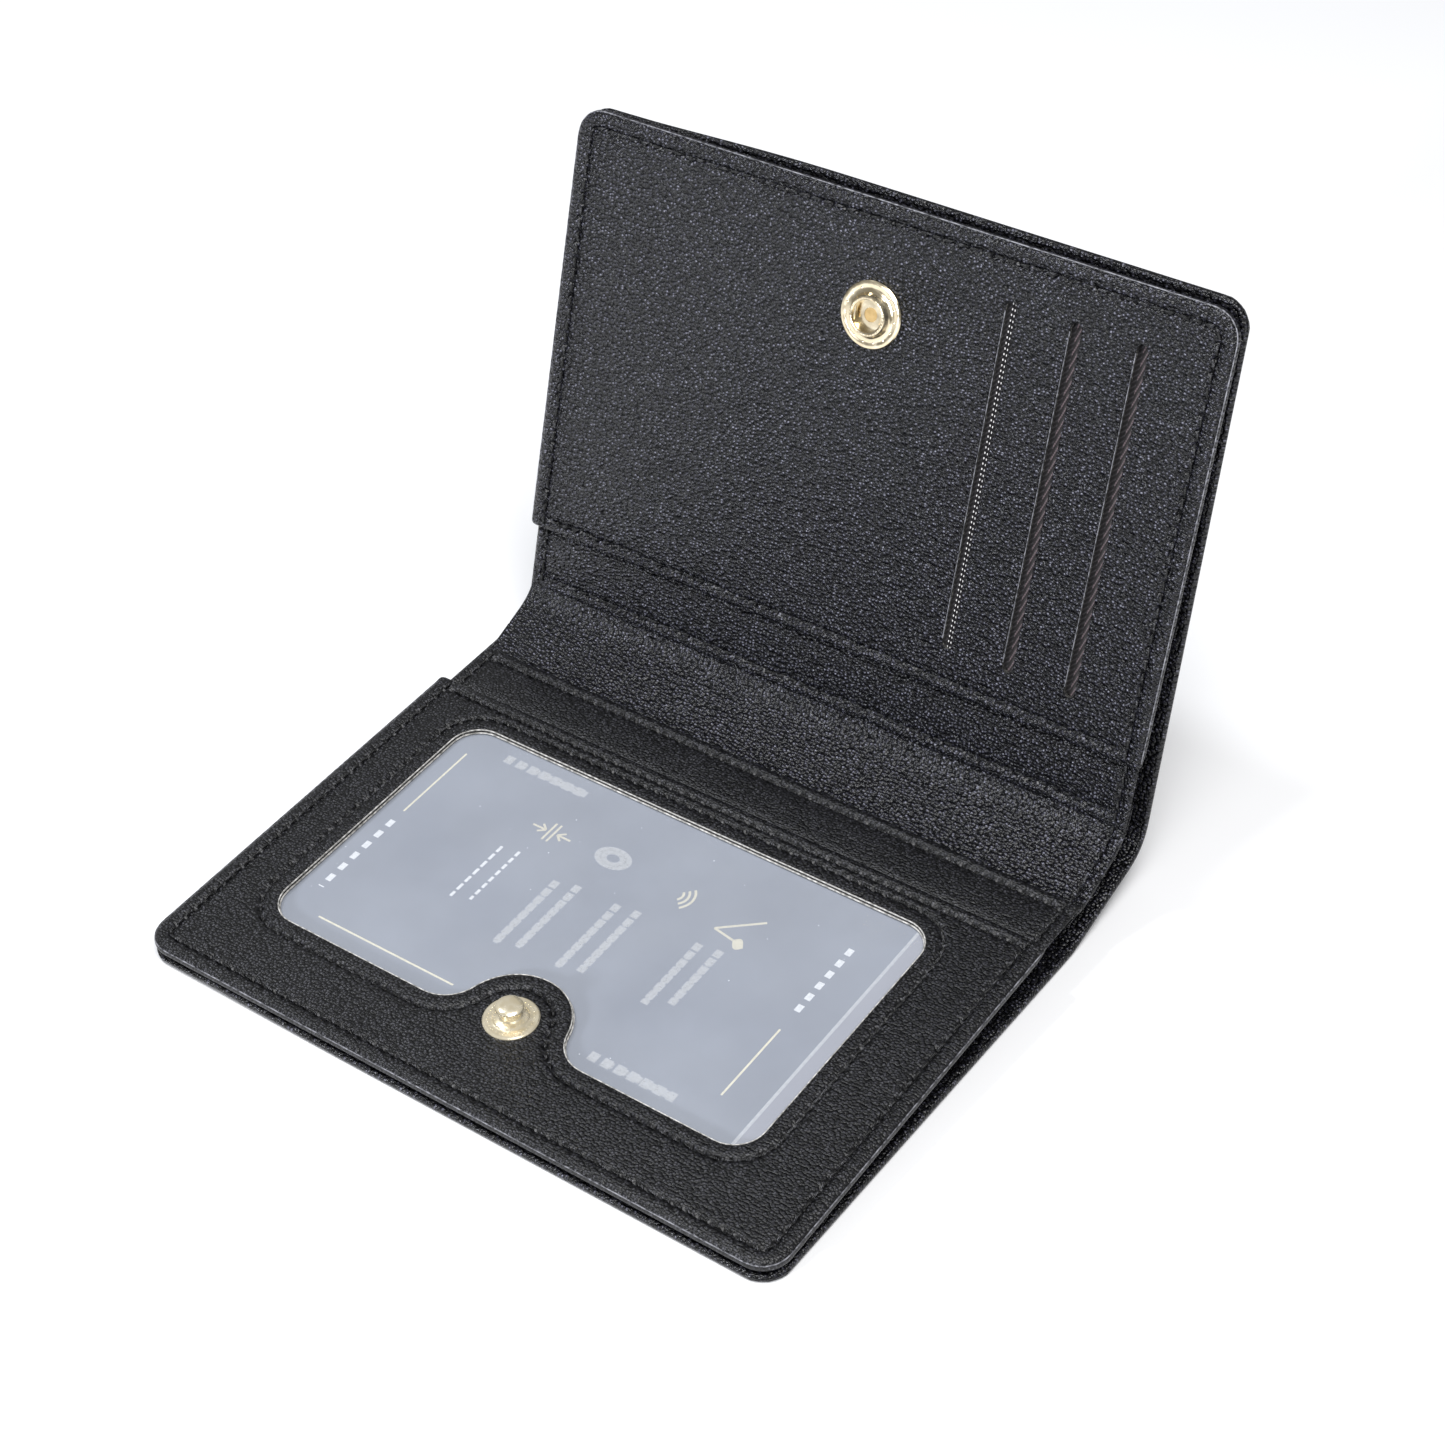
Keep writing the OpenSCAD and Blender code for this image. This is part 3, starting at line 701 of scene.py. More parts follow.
def edge_drop(d, r):
    """How far a round edge of radius r lies below the top at the distance d inside it."""
    d = np.clip(d, 0, r)
    return r - np.sqrt(np.maximum(r * r - (r - d) ** 2, 0))


def mouth_row(s0, sway, seed):
    """The row of stitches along a mouth, which sways a little."""
    reach = HALF_L - EDGE_SEAM - 1.2
    x = np.linspace(-reach, reach, 90)
    row = np.stack([x, np.full(len(x), s0 + MOUTH_SEAM)], 1)
    row[:, 1] += sway * wander(row, 4.5, seed)
    return row


def leaf_rows(sway=0.0):
    """The edge row and the mouth row of a front panel."""
    return [
        (u_row(-HALF_L, HALF_L, STEP + 0.6, LEAF_W, EDGE_SEAM, CORNER_R), False),
        (mouth_row(STEP, sway, 6.1), False),
    ]


def panel_surface(rows, seed):
    """The top of a front panel: round edges, puffed margins, seams drawn in and slow waves."""

    def height(points):
        s = points[:, 1] - STEP
        margin = np.minimum(HALF_L - np.abs(points[:, 0]), LEAF_W - points[:, 1])
        puff = np.maximum(0.16 * swell(s, -0.2, 0.9, 1.1, 2.4), 0.12 * swell(margin, 0.2, 1.6, 2.6, 4))
        body = 0.1 * smooth(np.minimum(margin - EDGE_SEAM, s - MOUTH_SEAM), 0.3, 5)
        waves = 0.07 * wander(points, 13, seed) + 0.04 * wander(points, 4, seed + 9)
        return puff + body + waves - valleys(points, rows)

    return height


def roll_radius(points, mouth_r):
    """The radius of a panel's edge: thin along the mouth, full along the ends and the free edge."""
    end = smooth(np.abs(points[:, 0]), HALF_L - 3.5, HALF_L - 1.5)
    free = smooth(points[:, 1], LEAF_W - 4, LEAF_W - 2)
    return mouth_r + (END_R - mouth_r) * np.maximum(end, free) * smooth(points[:, 1] - STEP, 0.4, 3)


def front_panel(name, leaf, holes, rows, height, skin, mouth_r, pressed):
    """A leaf's front. pressed is how far it is drawn down to the rims of its holes, from 0 to 1."""

    def top(points, d, g):
        press = 1 - pressed * (1 - smooth(g, 0, 0.8))
        drop = edge_drop(d, roll_radius(points, mouth_r)) + edge_drop(g, CUT_R)
        return height(points) * smooth(d, 0, 1.2) * press - drop

    def bottom(points, d, g):
        r = roll_radius(points, mouth_r)
        return np.where(d < HEM_W, edge_drop(d, r) - 2 * r, -LEATHER)

    outer = rounded(-HALF_L, HALF_L, STEP, LEAF_W, 0.9, CORNER_R)
    extra = [seam_points(*row) for row in rows]
    return slab(name, leaf.at, outer, top, bottom, [skin, raw_edge], ROUND_STEPS, holes, CUT_STEPS, extra)


def lower_pocket(name, leaf, seed, skin, sway=0.0):
    """The pocket behind a front panel. Its mouth strip shows; the rest narrows under the panel."""
    base, thick, end = POCKET_TOP - 0.3, 0.4, HALF_L - EDGE_SEAM
    half = HALF_L - END_INSET
    rows = [(mouth_row(0, sway, seed), False)]
    rows += [(np.array([(x, 0.7), (x, STEP)]), False) for x in (-end, end)]

    def height(points):
        s = points[:, 1]
        roll = 0.24 * swell(s, -0.2, 0.8, 1.2, 2.3)
        waves = 0.09 * wander(points, 12, seed) + 0.03 * wander(points, 3, seed + 3)
        body = 0.22 * swell(s, 2.2, 5.5, 8, STEP + 0.5)
        crease = 0.5 * np.exp(-((s - STEP + 0.25) / 0.4) ** 2)
        shown = 1 - smooth(s, STEP - 1.5, STEP + 0.5)
        return base + (roll + waves + body) * shown - crease - valleys(points, rows)

    def top(points, d, g):
        return base + (height(points) - base) * smooth(d, 0, 0.7) - edge_drop(d, thick / 2)

    def bottom(points, d, g):
        return base - thick + edge_drop(d, thick / 2)

    def place(x, s, n):
        return leaf.at(x * (1 - 0.022 * smooth(s, STEP - 0.2, STEP + 1.5)), s, n)

    outer = rounded(-half, half, 0, POCKET_END, 0.6, CORNER_R)
    strip = points_at(np.arange(-half, half, 1.3), np.append(np.arange(1, STEP, 1.1), STEP - 0.25))
    extra = [seam_points(*row) for row in rows] + [strip]
    obj = slab(name, place, outer, top, bottom, [skin], (0, 0.05, 0.15, 0.35, 0.7), extra=extra, grid=4)
    return obj, rows, height


def ply(name, leaf, outer, n0, n1, material, grid, waves=0.0):
    """A thin flat ply with slow waves."""

    def level(points):
        return waves * wander(points, 15, 4.4) if waves else np.zeros(len(points))

    return slab(name, leaf.at, outer, lambda p, d, g: n1 + level(p), lambda p, d, g: n0 + level(p),
                [material], grid=grid)


def settle(obj, body, slot, *nodes):
    """A piece rides on a body and stands for its CAD nodes; slot is not used."""
    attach(obj, body)
    if nodes:
        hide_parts(*nodes)


def sew(leaf, body, *made):
    """Threads of a leaf from (name, rows, height). Each stands for its CAD stitching, if it has one."""
    for name, rows, height in made:
        obj = stitches(f"{name}_thread", rows, leaf.at, height)
        nodes = [f"{name}_stitching"] if f"{name}_stitching" in frame["nodes"] else []
        settle(obj, body, "thread", *nodes)


def leaf_front(leaf, side, name, node, holes, rows, height, skin, mouth_r, pressed, seed, sway=0.0):
    """A leaf's front panel with a pale line on its rolled edge, partly edge wear and partly a painted
    highlight, and the pocket behind it.
    """
    body = f"{side}_leaf"
    settle(front_panel(name, leaf, holes, rows, height, skin, mouth_r, pressed), body, "panel_leather", node)
    path = spaced(u_row(-HALF_L, HALF_L, STEP + 0.8, LEAF_W, 0.12, CORNER_R), 0.8)[0]
    line = f"{node.removeprefix('id_')}_line"
    # a pale line on the rolled edge: partly edge wear, partly a painted highlight
    settle(edge_line(line, leaf, path, -0.42, 0.1, worn_edge_and_highlight), body, "panel_leather")
    pocket, pocket_rows, pocket_height = lower_pocket(f"{side}_pocket", leaf, seed, skin, sway)
    settle(pocket, body, "panel_leather", f"{side}_lower_pocket")
    return pocket_rows, pocket_height


def lying_leaf():
    window = Outline(window_arcs)
    rows = leaf_rows()
    window_row = (window.loop(WINDOW_SEAM), True)
    height = panel_surface(rows + [window_row], 2.3)
    pocket_rows, pocket_height = leaf_front(ID, "id", "window_panel", "id_window_panel", [window],
                                            rows + [window_row], height, matt_skin, 0.46, 1.0, 5.1)
    sew(ID, "id_leaf", ("id_edge", rows[:1], height), ("id_end", pocket_rows[1:], pocket_height),
        ("id_mouth", rows[1:], height), ("window", [window_row], height),
        ("id_pocket", pocket_rows[:1], pocket_height))
    # pale rims round the window: partly the cut edge's colour and partly a painted highlight
    for i, (grow, n, r) in enumerate(((0.03, -0.05, 0.11), (-0.12, 0.12 - LEATHER, 0.13))):
        rim = edge_line(f"window_rim_{i}", ID, window.loop(grow), n, r, pale_edge, True)
        settle(rim, "id_leaf", "panel_leather")
    outline = rounded(sheet_lo[0], sheet_hi[0], sheet_lo[1], sheet_hi[1], 1, 1)
    sheet = ply("window_sheet", ID, outline, sheet_lo[2], sheet_hi[2], clear_plastic(), 2.5, 0.03)
    settle(sheet, "id_leaf", "clear_sheet", "id_window_sheet")


def edge_line(name, leaf, path, n, r, material, closed=False):
    """A thin pale line along a path at height n, partly edge colour and partly a painted highlight."""
    count, sides = len(path), 6
    tangent = np.roll(path, -1, 0) - np.roll(path, 1, 0) if closed else np.gradient(path, axis=0)
    tangent = tangent / np.linalg.norm(tangent, axis=1)[:, None]
    across = np.stack([-tangent[:, 1], tangent[:, 0], np.zeros(count)], 1)
    ring = np.concatenate([path, np.full((count, 1), n)], 1)
    turn = [2 * math.pi * j / sides for j in range(sides)]
    points = [ring + across * r * math.cos(a) + np.array([0, 0, r * math.sin(a)]) for a in turn]
    faces = bands(count, sides, closed=closed) + ([] if closed else caps(count, sides))
    return piece(name, leaf.at, np.stack(points, 1).reshape(-1, 3), faces, material)


# ---- the clear window's card ----

PRINT_T = 0.02
CREASE_X = WINDOW_RIGHT + 3


def bar(x0, s0, x1, s1, w):
    """A printed stroke of width w between two points."""
    dx, ds = x1 - x0, s1 - s0
    size = math.hypot(dx, ds)
    ax, a_s = -ds / size * w / 2, dx / size * w / 2
    return [(x0 + ax, s0 + a_s), (x0 - ax, s0 - a_s), (x1 - ax, s1 - a_s), (x1 + ax, s1 + a_s)]


def arc_band(cx, cs, r, w, a0, a1, steps=16, squeeze=1.0):
    """A printed arc of width w."""
    turn = [a0 + (a1 - a0) * i / steps for i in range(steps + 1)]
    outer, inner = ([(cx + (r + e * w / 2) * math.cos(a), cs + (r + e * w / 2) * squeeze * math.sin(a))
                     for a in turn] for e in (1, -1))
    return outer + inner[::-1]


def rules():
    """Thin cream rules along the card's sides."""
    return [bar(-42, 23, -42, 38.5, 0.32), bar(-38, 63, -12, 63, 0.32), bar(33, 44.5, 33, 59, 0.32)]


def icons():
    """Small generic pictograms: two plates pressed together, waves and a leaf."""
    x, s = -19.5, 30
    marks = [bar(x - 0.4, s - 2, x - 0.4, s + 2, 0.35), bar(x + 0.5, s - 2, x + 0.5, s + 2, 0.35)]
    for e in (-1, 1):
        tip, tail = x + 0.05 + e * 1.1, x + 0.05 + e * 3.6
        marks.append(bar(tail, s, tip, s, 0.35))
        marks += [bar(tip, s, tip + e * 1.1, s + side * 0.9, 0.35) for side in (-1, 1)]
    marks += [arc_band(4.5, 30.5, r, 0.4, -0.8, 0.8) for r in (1.2, 2.1, 3.0)]
    marks.append(bar(13.5, 33.2, 19.5, 28.2, 0.4))
    marks.append(bar(13.5, 33.2, 17.2, 33.8, 0.4))
    blade = [(17.2 + 2.2 * t, 33.8 + 1.1 * math.sin(math.pi * t) * e + 0.6 * t)
             for e in (1, -1) for t in (np.linspace(0, 1, 9) if e > 0 else np.linspace(0.9, 0.1, 8))]
    marks.append(blade)
    return marks


def dashes(x0, s0, x1, s1, w, long, gap):
    """A row of plain dashes from one point to another."""
    size = math.dist((x0, s0), (x1, s1))
    marks = []
    for i in range(max(1, round((size + gap) / (long + gap)))):
        f0, f1 = i * (long + gap) / size, min((i * (long + gap) + long) / size, 1)
        if f0 < 1:
            marks.append(bar(x0 + (x1 - x0) * f0, s0 + (s1 - s0) * f0,
                             x0 + (x1 - x0) * f1, s0 + (s1 - s0) * f1, w))
    return marks


def captions():
    """Rows of plain dashes in place of words: crisp ones where the sheet touches the card."""
    return (dashes(-42, 41, -42, 58, 1.0, 1.5, 1.3) + dashes(-21, 36, -21, 48, 0.5, 1.1, 0.5)
            + dashes(-24, 36.5, -24, 49, 0.5, 1.4, 0.5) + dashes(33, 26, 33, 41, 1.0, 1.4, 1.2))


def faint_marks(grow):
    """Marks blurred by the sheet where it stands off the card, widened by grow."""
    marks = []
    for x, s0, s1 in ((-8.8, 37, 52), (-12.2, 38, 53), (2, 36.5, 51), (-1.4, 37, 52),
                      (17, 36.5, 49), (13.6, 37, 51)):
        marks += dashes(x, s0, x, s1, 0.5 + grow, 1.5, 0.7 - 0.4 * grow)
    marks += [arc_band(-8, 29.5, r, 0.35 + grow, 0, 2 * math.pi - 0.01, 40, 0.7) for r in (1.7, 2.6)]
    marks += dashes(-36, 20.5, -20, 20.5, 0.9 + grow, 1.5, 1.2 - 0.5 * grow)
    return marks + dashes(13, 63, 28, 63, 0.9 + grow, 1.5, 1.2 - 0.5 * grow)


def printed(name, marks, material, low=0.0, thick=PRINT_T):
    """Marks on the card, low above its face."""
    z = card_hi[2] + low
    obj = piece(name, ID.at, *joined([strip_mark(m, z, z + thick) for m in marks]), material)
    settle(obj, "insert", "insert_card")


def window_card():
    face = card_face("card_face", (0.195, 0.213, 0.256), (0.24, 0.262, 0.312))
    flap = card_face("card_flap", (0.27, 0.277, 0.32), (0.31, 0.318, 0.36))
    crease, end = HALF_L - CREASE_X, card_hi[0] - 0.2
    s0, s1 = card_lo[1] + 1, card_hi[1] - 1

    def top(p, d, g):
        return card_hi[2] - 0.02 * smooth(p[:, 0], crease - 0.3, crease + 0.3)

    outline = rounded(card_lo[0], card_hi[0], card_lo[1], card_hi[1], 2.5, 2.5)
    card = slab("card", ID.at, outline, top, lambda p, d, g: card_lo[2] + 0 * d, [face], grid=3)
    settle(card, "insert", "insert_card", "insert_card")
    side = [(crease + 0.15, s0), (end, s0), (end, s1), (crease + 0.15, s1)]
    printed("card_flap", [side], flap, -0.03, 0.035)
    ridge = bar(crease, s0, crease, s1, 0.5)
    printed("card_crease", [ridge], ink("crease_line", (0.75, 0.77, 0.8), 0.6), -0.02, 0.04)
    printed("card_rules", rules(), ink("cream_ink", (0.85, 0.8, 0.62), 0.9))
    printed("card_icons", icons(), ink("icon_ink", (0.85, 0.8, 0.64), 0.75))
    printed("card_captions", captions(), ink("caption_ink", (0.88, 0.9, 0.93), 0.85))
    faint = ink("faint_ink", (0.85, 0.87, 0.9), 0.3)
    for i, grow in enumerate((0.0, 0.4, 0.8)):
        printed(f"card_faint_{i}", faint_marks(grow), faint, 0.003 * i)


# ---- the standing leaf ----

SLIT_W, SLIT_END = 1.8, 1.5


def card_slits():
    """(x, s0, s1) of each slit, from the pockets behind them."""
    found = []
    for i in (1, 2, 3):
        lo, hi = SNAP.span(f"card_pocket_{i}")
        found.append((hi[0] - SLIT_W, lo[1] + SLIT_END, hi[1] - SLIT_END))
    return found


def slit_pocket(i, x, s0, s1, material):
    """The cloth pocket behind a slit. Its left part lies deep and takes the dark lining cloth as painted
    shade under the slit's left lip, and its patterned part comes up to the slit's right edge."""
    lo, hi = SNAP.span(f"card_pocket_{i + 1}")
    left, right = x - SLIT_W / 2, x + SLIT_W / 2
    level = -LEATHER - 0.06 - 0.13 * i
    outer = rounded(lo[0], right - 0.04, s0 + 0.05, s1 - 0.05, 0.4, 0.4)

    def top(p, d, g):
        return level + (-0.3 - level) * smooth(p[:, 0], x - 0.25, right)

    extra = [points_at(np.linspace(left, right, 7), np.arange(s0, s1, 0.8))]
    obj = slab(f"card_pocket_cloth_{i + 1}", SNAP.at, outer, top, lambda p, d, g: top(p, d, g) - 0.08,
               [material, lining], extra=extra, grid=4)
    # painted shade: faces left of the slit's middle take the dark lining cloth
    for face in obj.data.polygons:
        face.material_index = int(face.center.x < (x - 0.3) * MM)
    settle(obj, "snap_leaf", "card_pocket_twill", f"card_pocket_{i + 1}")
    # a pale line on each slit's left lip: partly edge wear, partly a painted highlight
    lip = points_at([left + 0.03], np.arange(s0 + SLIT_END, s1 - SLIT_END, 1.0))
    line = edge_line(f"slit_lip_{i + 1}", SNAP, lip, 0.06, 0.09, worn_edge_and_highlight)
    settle(line, "snap_leaf", "panel_leather")


def standing_leaf():
    slits = card_slits()
    rows = leaf_rows(0.3)
    flat_top = panel_surface(rows, 7.7)

    def height(points):
        """The panel's top, with the left lip of each slit lifted."""
        lift = np.zeros(len(points))
        for x, s0, s1 in slits:
            before = x - SLIT_W / 2 - points[:, 0]
            along = swell(points[:, 1], s0 - 1, s0 + 6, s1 - 6, s1 + 1)
            rise = np.where(before > -0.1, 0.22 * np.exp(-np.maximum(before, 0) / 1.1), 0)
            lift = np.maximum(lift, rise * along)
        return flat_top(points) + lift

    r = SLIT_W / 2
    holes = [rounded(x - r, x + r, s0, s1, r, r) for x, s0, s1 in slits]
    pocket_rows, pocket_height = leaf_front(SNAP, "snap", "slot_skin", "slot_panel", holes, rows, height,
                                            panel_skin, 0.6, 0.0, 11.4, 0.3)
    for i, (slit, cloth) in enumerate(zip(slits, (dotted, ribbed, ribbed))):
        slit_pocket(i, *slit, cloth)
    sew(SNAP, "snap_leaf", ("snap_edge", rows[:1], height), ("snap_mouth", rows[1:], height),
        ("snap_pocket", pocket_rows[:1], pocket_height), ("snap_end", pocket_rows[1:], pocket_height))


def backings():
    """The fabric behind each leaf, which lines the bill compartment."""
    lo, hi = backing_lo + 0.9, backing_hi - 0.9
    for side, leaf in (("id", ID), ("snap", SNAP)):
        outer = rounded(lo[0], hi[0], BACKING_START, hi[1], 1, CORNER_R)
        obj = ply(f"{side}_back_cloth", leaf, outer, backing_lo[2], backing_hi[2], lining, 4)
        settle(obj, f"{side}_leaf", "lining", f"{side}_backing")
        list(outer.loop().max(0) - outer.loop().min(0))


# ---- the bent plies: the spine's liner and the outer cover ----


def crossing(p, u, q, v):
    """Where the lines p + a u and q + b v cross, in the plane of Y and Z."""
    a = np.linalg.solve(np.array([u, -np.asarray(v)]).T, np.asarray(q) - p)
    return np.asarray(p) + a[0] * np.asarray(u)


def fillets(knots, radii, steps=16):
    """A line through knots with a round bend at each inner knot, in equal counts of points."""
    line, at = [], np.asarray(knots[0], float)
    for k in range(1, len(knots)):
        corner = np.asarray(knots[k], float)
        if k == len(knots) - 1:
            line += [at + (corner - at) * i / steps for i in range(steps + 1)]
            break
        u = (corner - knots[k - 1]) / np.linalg.norm(corner - knots[k - 1])
        v = (knots[k + 1] - corner) / np.linalg.norm(knots[k + 1] - corner)
        turn = math.acos(np.clip(u @ v, -1, 1))
        reach = radii[k - 1] * math.tan(turn / 2)
        start, end = corner - u * reach, corner + v * reach
        line += [at + (start - at) * i / steps for i in range(steps)]
        for i in range(steps):
            f = i / steps
            line.append((1 - f) ** 2 * start + 2 * f * (1 - f) * corner + f**2 * end)
        at = end
    return np.array(line)


class Bent:
    """A frame along a bent line: x, the distance t along it, and m to its left-hand side. Towards
    the sewn end, where ramp(x) rises to 1, it follows the second line instead."""

    def __init__(self, line, second=None, ramp=None):
        self.line, self.second, self.ramp = line, second, ramp
        run = np.linalg.norm(np.diff(line, axis=0), axis=1)
        self.t = np.concatenate([[0], np.cumsum(run)])
        self.middle = self.t[len(line) // 2]

    @staticmethod
    def normals(line):
        along = np.gradient(line, axis=0)
        along /= np.linalg.norm(along, axis=1)[:, None]
        return np.stack([-along[:, 1], along[:, 0]], 1)

    def at(self, x, t, m):
        x, t, m = np.broadcast_arrays(np.asarray(x, float), t, m)
        pick = lambda values: np.stack([np.interp(t, self.t, values[:, k]) for k in (0, 1)], -1)
        base, normal = pick(self.line), pick(self.normals(self.line))
        if self.second is not None:
            w = self.ramp(x)[..., None]
            base = base * (1 - w) + pick(self.second) * w
            normal = normal * (1 - w) + pick(self.normals(self.second)) * w
        normal = normal / np.linalg.norm(normal, axis=-1, keepdims=True)
        yz = base + normal * m[..., None]
        return np.concatenate([x[..., None], yz], -1)


def yz(leaf, s, n):
    return leaf.at(0, s, n)[1:]


def liner_line():
    """The liner's top: under both pockets and across the spine."""
    n, h, tuck = backing_hi[2] + 0.01, liner_hi[2], 5.0
    a = crossing(yz(ID, 0, n), ID.s[1:], yz(SPINE, 0, h), SPINE.s[1:])
    b = crossing(yz(SPINE, 0, h), SPINE.s[1:], yz(SNAP, 0, n), SNAP.s[1:])
    return fillets([yz(ID, tuck, n), a, b, yz(SNAP, tuck, n)], (8, 8))


def cover_lines():
    """The cover's outer face where it lies free, and where it is sewn to the leaves."""
    lo, hi = (np.array(c) / MM for c in cad_box)
    heel = np.array([FOLD_A[1] - HEEL_TO_FOLD, 0])
    toe = heel + HEEL_L * np.array([math.cos(HEEL_RISE), math.sin(HEEL_RISE)])
    free = fillets([np.array([lo[1], 0]), heel, toe, hi[1:]], (9, 8))
    n, h = SEAM_DROP - COVER_T, liner_lo[2] - LINING_T - 0.1 - COVER_T
    a = crossing(yz(ID, 0, n), ID.s[1:], yz(SPINE, 0, h), SPINE.s[1:])
    b = crossing(yz(SPINE, 0, h), SPINE.s[1:], yz(SNAP, 0, n), SNAP.s[1:])
    sewn = fillets([yz(ID, LEAF_W, n), a, b, yz(SNAP, LEAF_W, n)], (2.5, 2.5))
    return free, sewn


def halves(bent):
    """(name, from t, to t, cut side) of a bent ply's two halves."""
    return ("id", 0.0, bent.middle, "high"), ("snap", bent.middle, bent.t[-1], "low")


def free_edge(half, t0, t1, cut, inset, r):
    """The row along the three finished sides of a half, at an inset."""
    if cut == "low":
        return u_row(-half, half, t0, t1, inset, r)
    return u_row(-half, half, -t1, -t0, inset, r) * (1, -1)


def bend_with(obj, bent, which, reach, slot, *nodes):
    """A half has its transform baked into its mesh and stands for its CAD nodes; slot is not used."""
    middle = np.array([0, *bent.line[len(bent.line) // 2]]) * MM
    if which == "id":
        bent.at(0, bent.middle - reach, 0) * MM
        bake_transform(obj)
    else:
        bent.at(0, bent.middle + reach, 0) * MM
        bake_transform(obj)
    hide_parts(*nodes)


def spine_liner():
    bent = Bent(liner_line())
    half, seam = liner_hi[0], HALF_L - EDGE_SEAM
    for which, t0, t1, cut in halves(bent):
        rows = [(np.array([(seam, t0), (seam, t1)]), False)]

        def height(p):
            free = smooth(CHORD / 2 + 2 - np.abs(p[:, 1] - bent.middle), 0, 3)
            return 0.08 * wander(p, 9, 3.9) * free - valleys(p, rows)

        def bottom(p, d, g):
            thin = smooth(np.abs(p[:, 1] - bent.middle), CHORD / 2, CHORD / 2 + 3)
            return edge_drop(d, 0.1) - (LINER_T - 0.48 * thin)

        outer = rounded(-half, half, t0, t1, 0.5, 0.5, cut)
        obj = slab(f"spine_skin_{which}", bent.at, outer, lambda p, d, g: height(p) - edge_drop(d, 0.4),
                   bottom, [panel_skin], (0, 0.1, 0.3, 0.7), extra=[seam_points(*r) for r in rows],
                   grid=1.1, open_edge=free_edge(half, t0, t1, cut, 0, 0.5))
        bend_with(obj, bent, which, bent.middle - LINER_BEND, "panel_leather", "spine_liner")
        sewn = stitches(f"spine_thread_{which}", rows, bent.at, height)
        bend_with(sewn, bent, which, bent.middle - LINER_BEND, "thread", "spine_stitching")
    return bent


def cover():
    free, sewn = cover_lines()
    flat_at, sewn_at = RAMP_W - HALF_L, EDGE_SEAM - HALF_L
    bent = Bent(free, sewn, lambda x: smooth(-x, RAMP_END, -sewn_at) ** 1.5)
    for which, t0, t1, cut in halves(bent):
        rows = [(free_edge(HALF_L, t0, t1, cut, EDGE_SEAM, CORNER_R), False)]

        def height(p):
            waves = np.abs(0.1 * wander(p, 18, 5.2)) + 0.03 * np.abs(wander(p, 5, 8.1))
            return -waves - valleys(p, rows)

        def edge_r(p):
            return 0.43 + 0.17 * smooth(p[:, 0], flat_at - 6, flat_at)

        def outer_face(p, d, g):
            return -height(p) * smooth(d, 0, 1) + edge_drop(d, edge_r(p))

        def inner_face(p, d, g):
            return np.where(d < 6, 2 * edge_r(p) - edge_drop(d, edge_r(p)), COVER_T)

        radii = (CORNER_R, 0.5) if cut == "high" else (0.5, CORNER_R)
        outer = rounded(-HALF_L, HALF_L, t0, t1, *radii, cut)
        obj = slab(f"cover_skin_{which}", bent.at, outer, outer_face, inner_face, [cover_skin], ROUND_STEPS,
                   extra=[seam_points(*r) for r in rows], grid=2.0,
                   open_edge=free_edge(HALF_L, t0, t1, cut, 0, CORNER_R))
        bend = (bent, which, COVER_BEND[which])
        bend_with(obj, *bend, "cover_leather", f"cover_{which}_panel", "spine_cover")
        row = stitches(f"cover_thread_{which}", rows, lambda x, t, n: bent.at(x, t, -n), height)
        bend_with(row, *bend, "thread", f"cover_{which}_stitching")

        # the cloth glued inside, up to the turned hem
        left, right = flat_at + 1, HALF_L - COVER_HEM
        a, b = (t0 + COVER_HEM, t1) if cut == "high" else (t0, t1 - COVER_HEM)
        cloth = slab(f"cover_lining_{which}", bent.at, rounded(left, right, a, b, 1, 1, cut),
                     lambda p, d, g: COVER_T + LINING_T + 0.05 + 0 * d,
                     lambda p, d, g: COVER_T + 0.05 + 0 * d, [lining], grid=2.5)
        bend_with(cloth, *bend, "lining", f"cover_{which}_lining", "spine_cover_lining")


def liner_backing(bent):
    """The cloth under the spine's liner."""
    half, depth, reach = liner_hi[0] - 1, LINER_T + 0.05, CHORD / 2 - 2.6
    outer = rounded(-half, half, bent.middle - reach, bent.middle + reach, 0.5, 0.5)
    cloth = slab("spine_back_cloth", bent.at, outer, lambda p, d, g: -depth + 0 * d,
                 lambda p, d, g: -depth - LINING_T + 0 * d, [lining], grid=2.5)
    settle(cloth, "spine", "lining", "spine_backing")


# ---- the snap ----


def ring_of_beads(count, radius, z, size, squash=0.7, skip=()):
    turn = [2 * math.pi * i / count for i in range(count) if i not in skip]
    return [bead((radius * math.cos(a), radius * math.sin(a), z), size, squash) for a in turn]


def rod(p, q, r, sides=12):
    """A round rod along y."""
    turn = [2 * math.pi * j / sides for j in range(sides)]
    verts = [(x + r * math.cos(a), y, z + r * math.sin(a)) for x, y, z in (p, q) for a in turn]
    return verts, bands(2, sides) + caps(2, sides)


def snap_piece(name, leaf, parts, body, node, metal):
    obj = piece(name, lambda x, s, n: leaf.at(x, s + SNAP_S, n), *joined(parts), metal, sharp=28)
    settle(obj, body, "snap_metal", node)


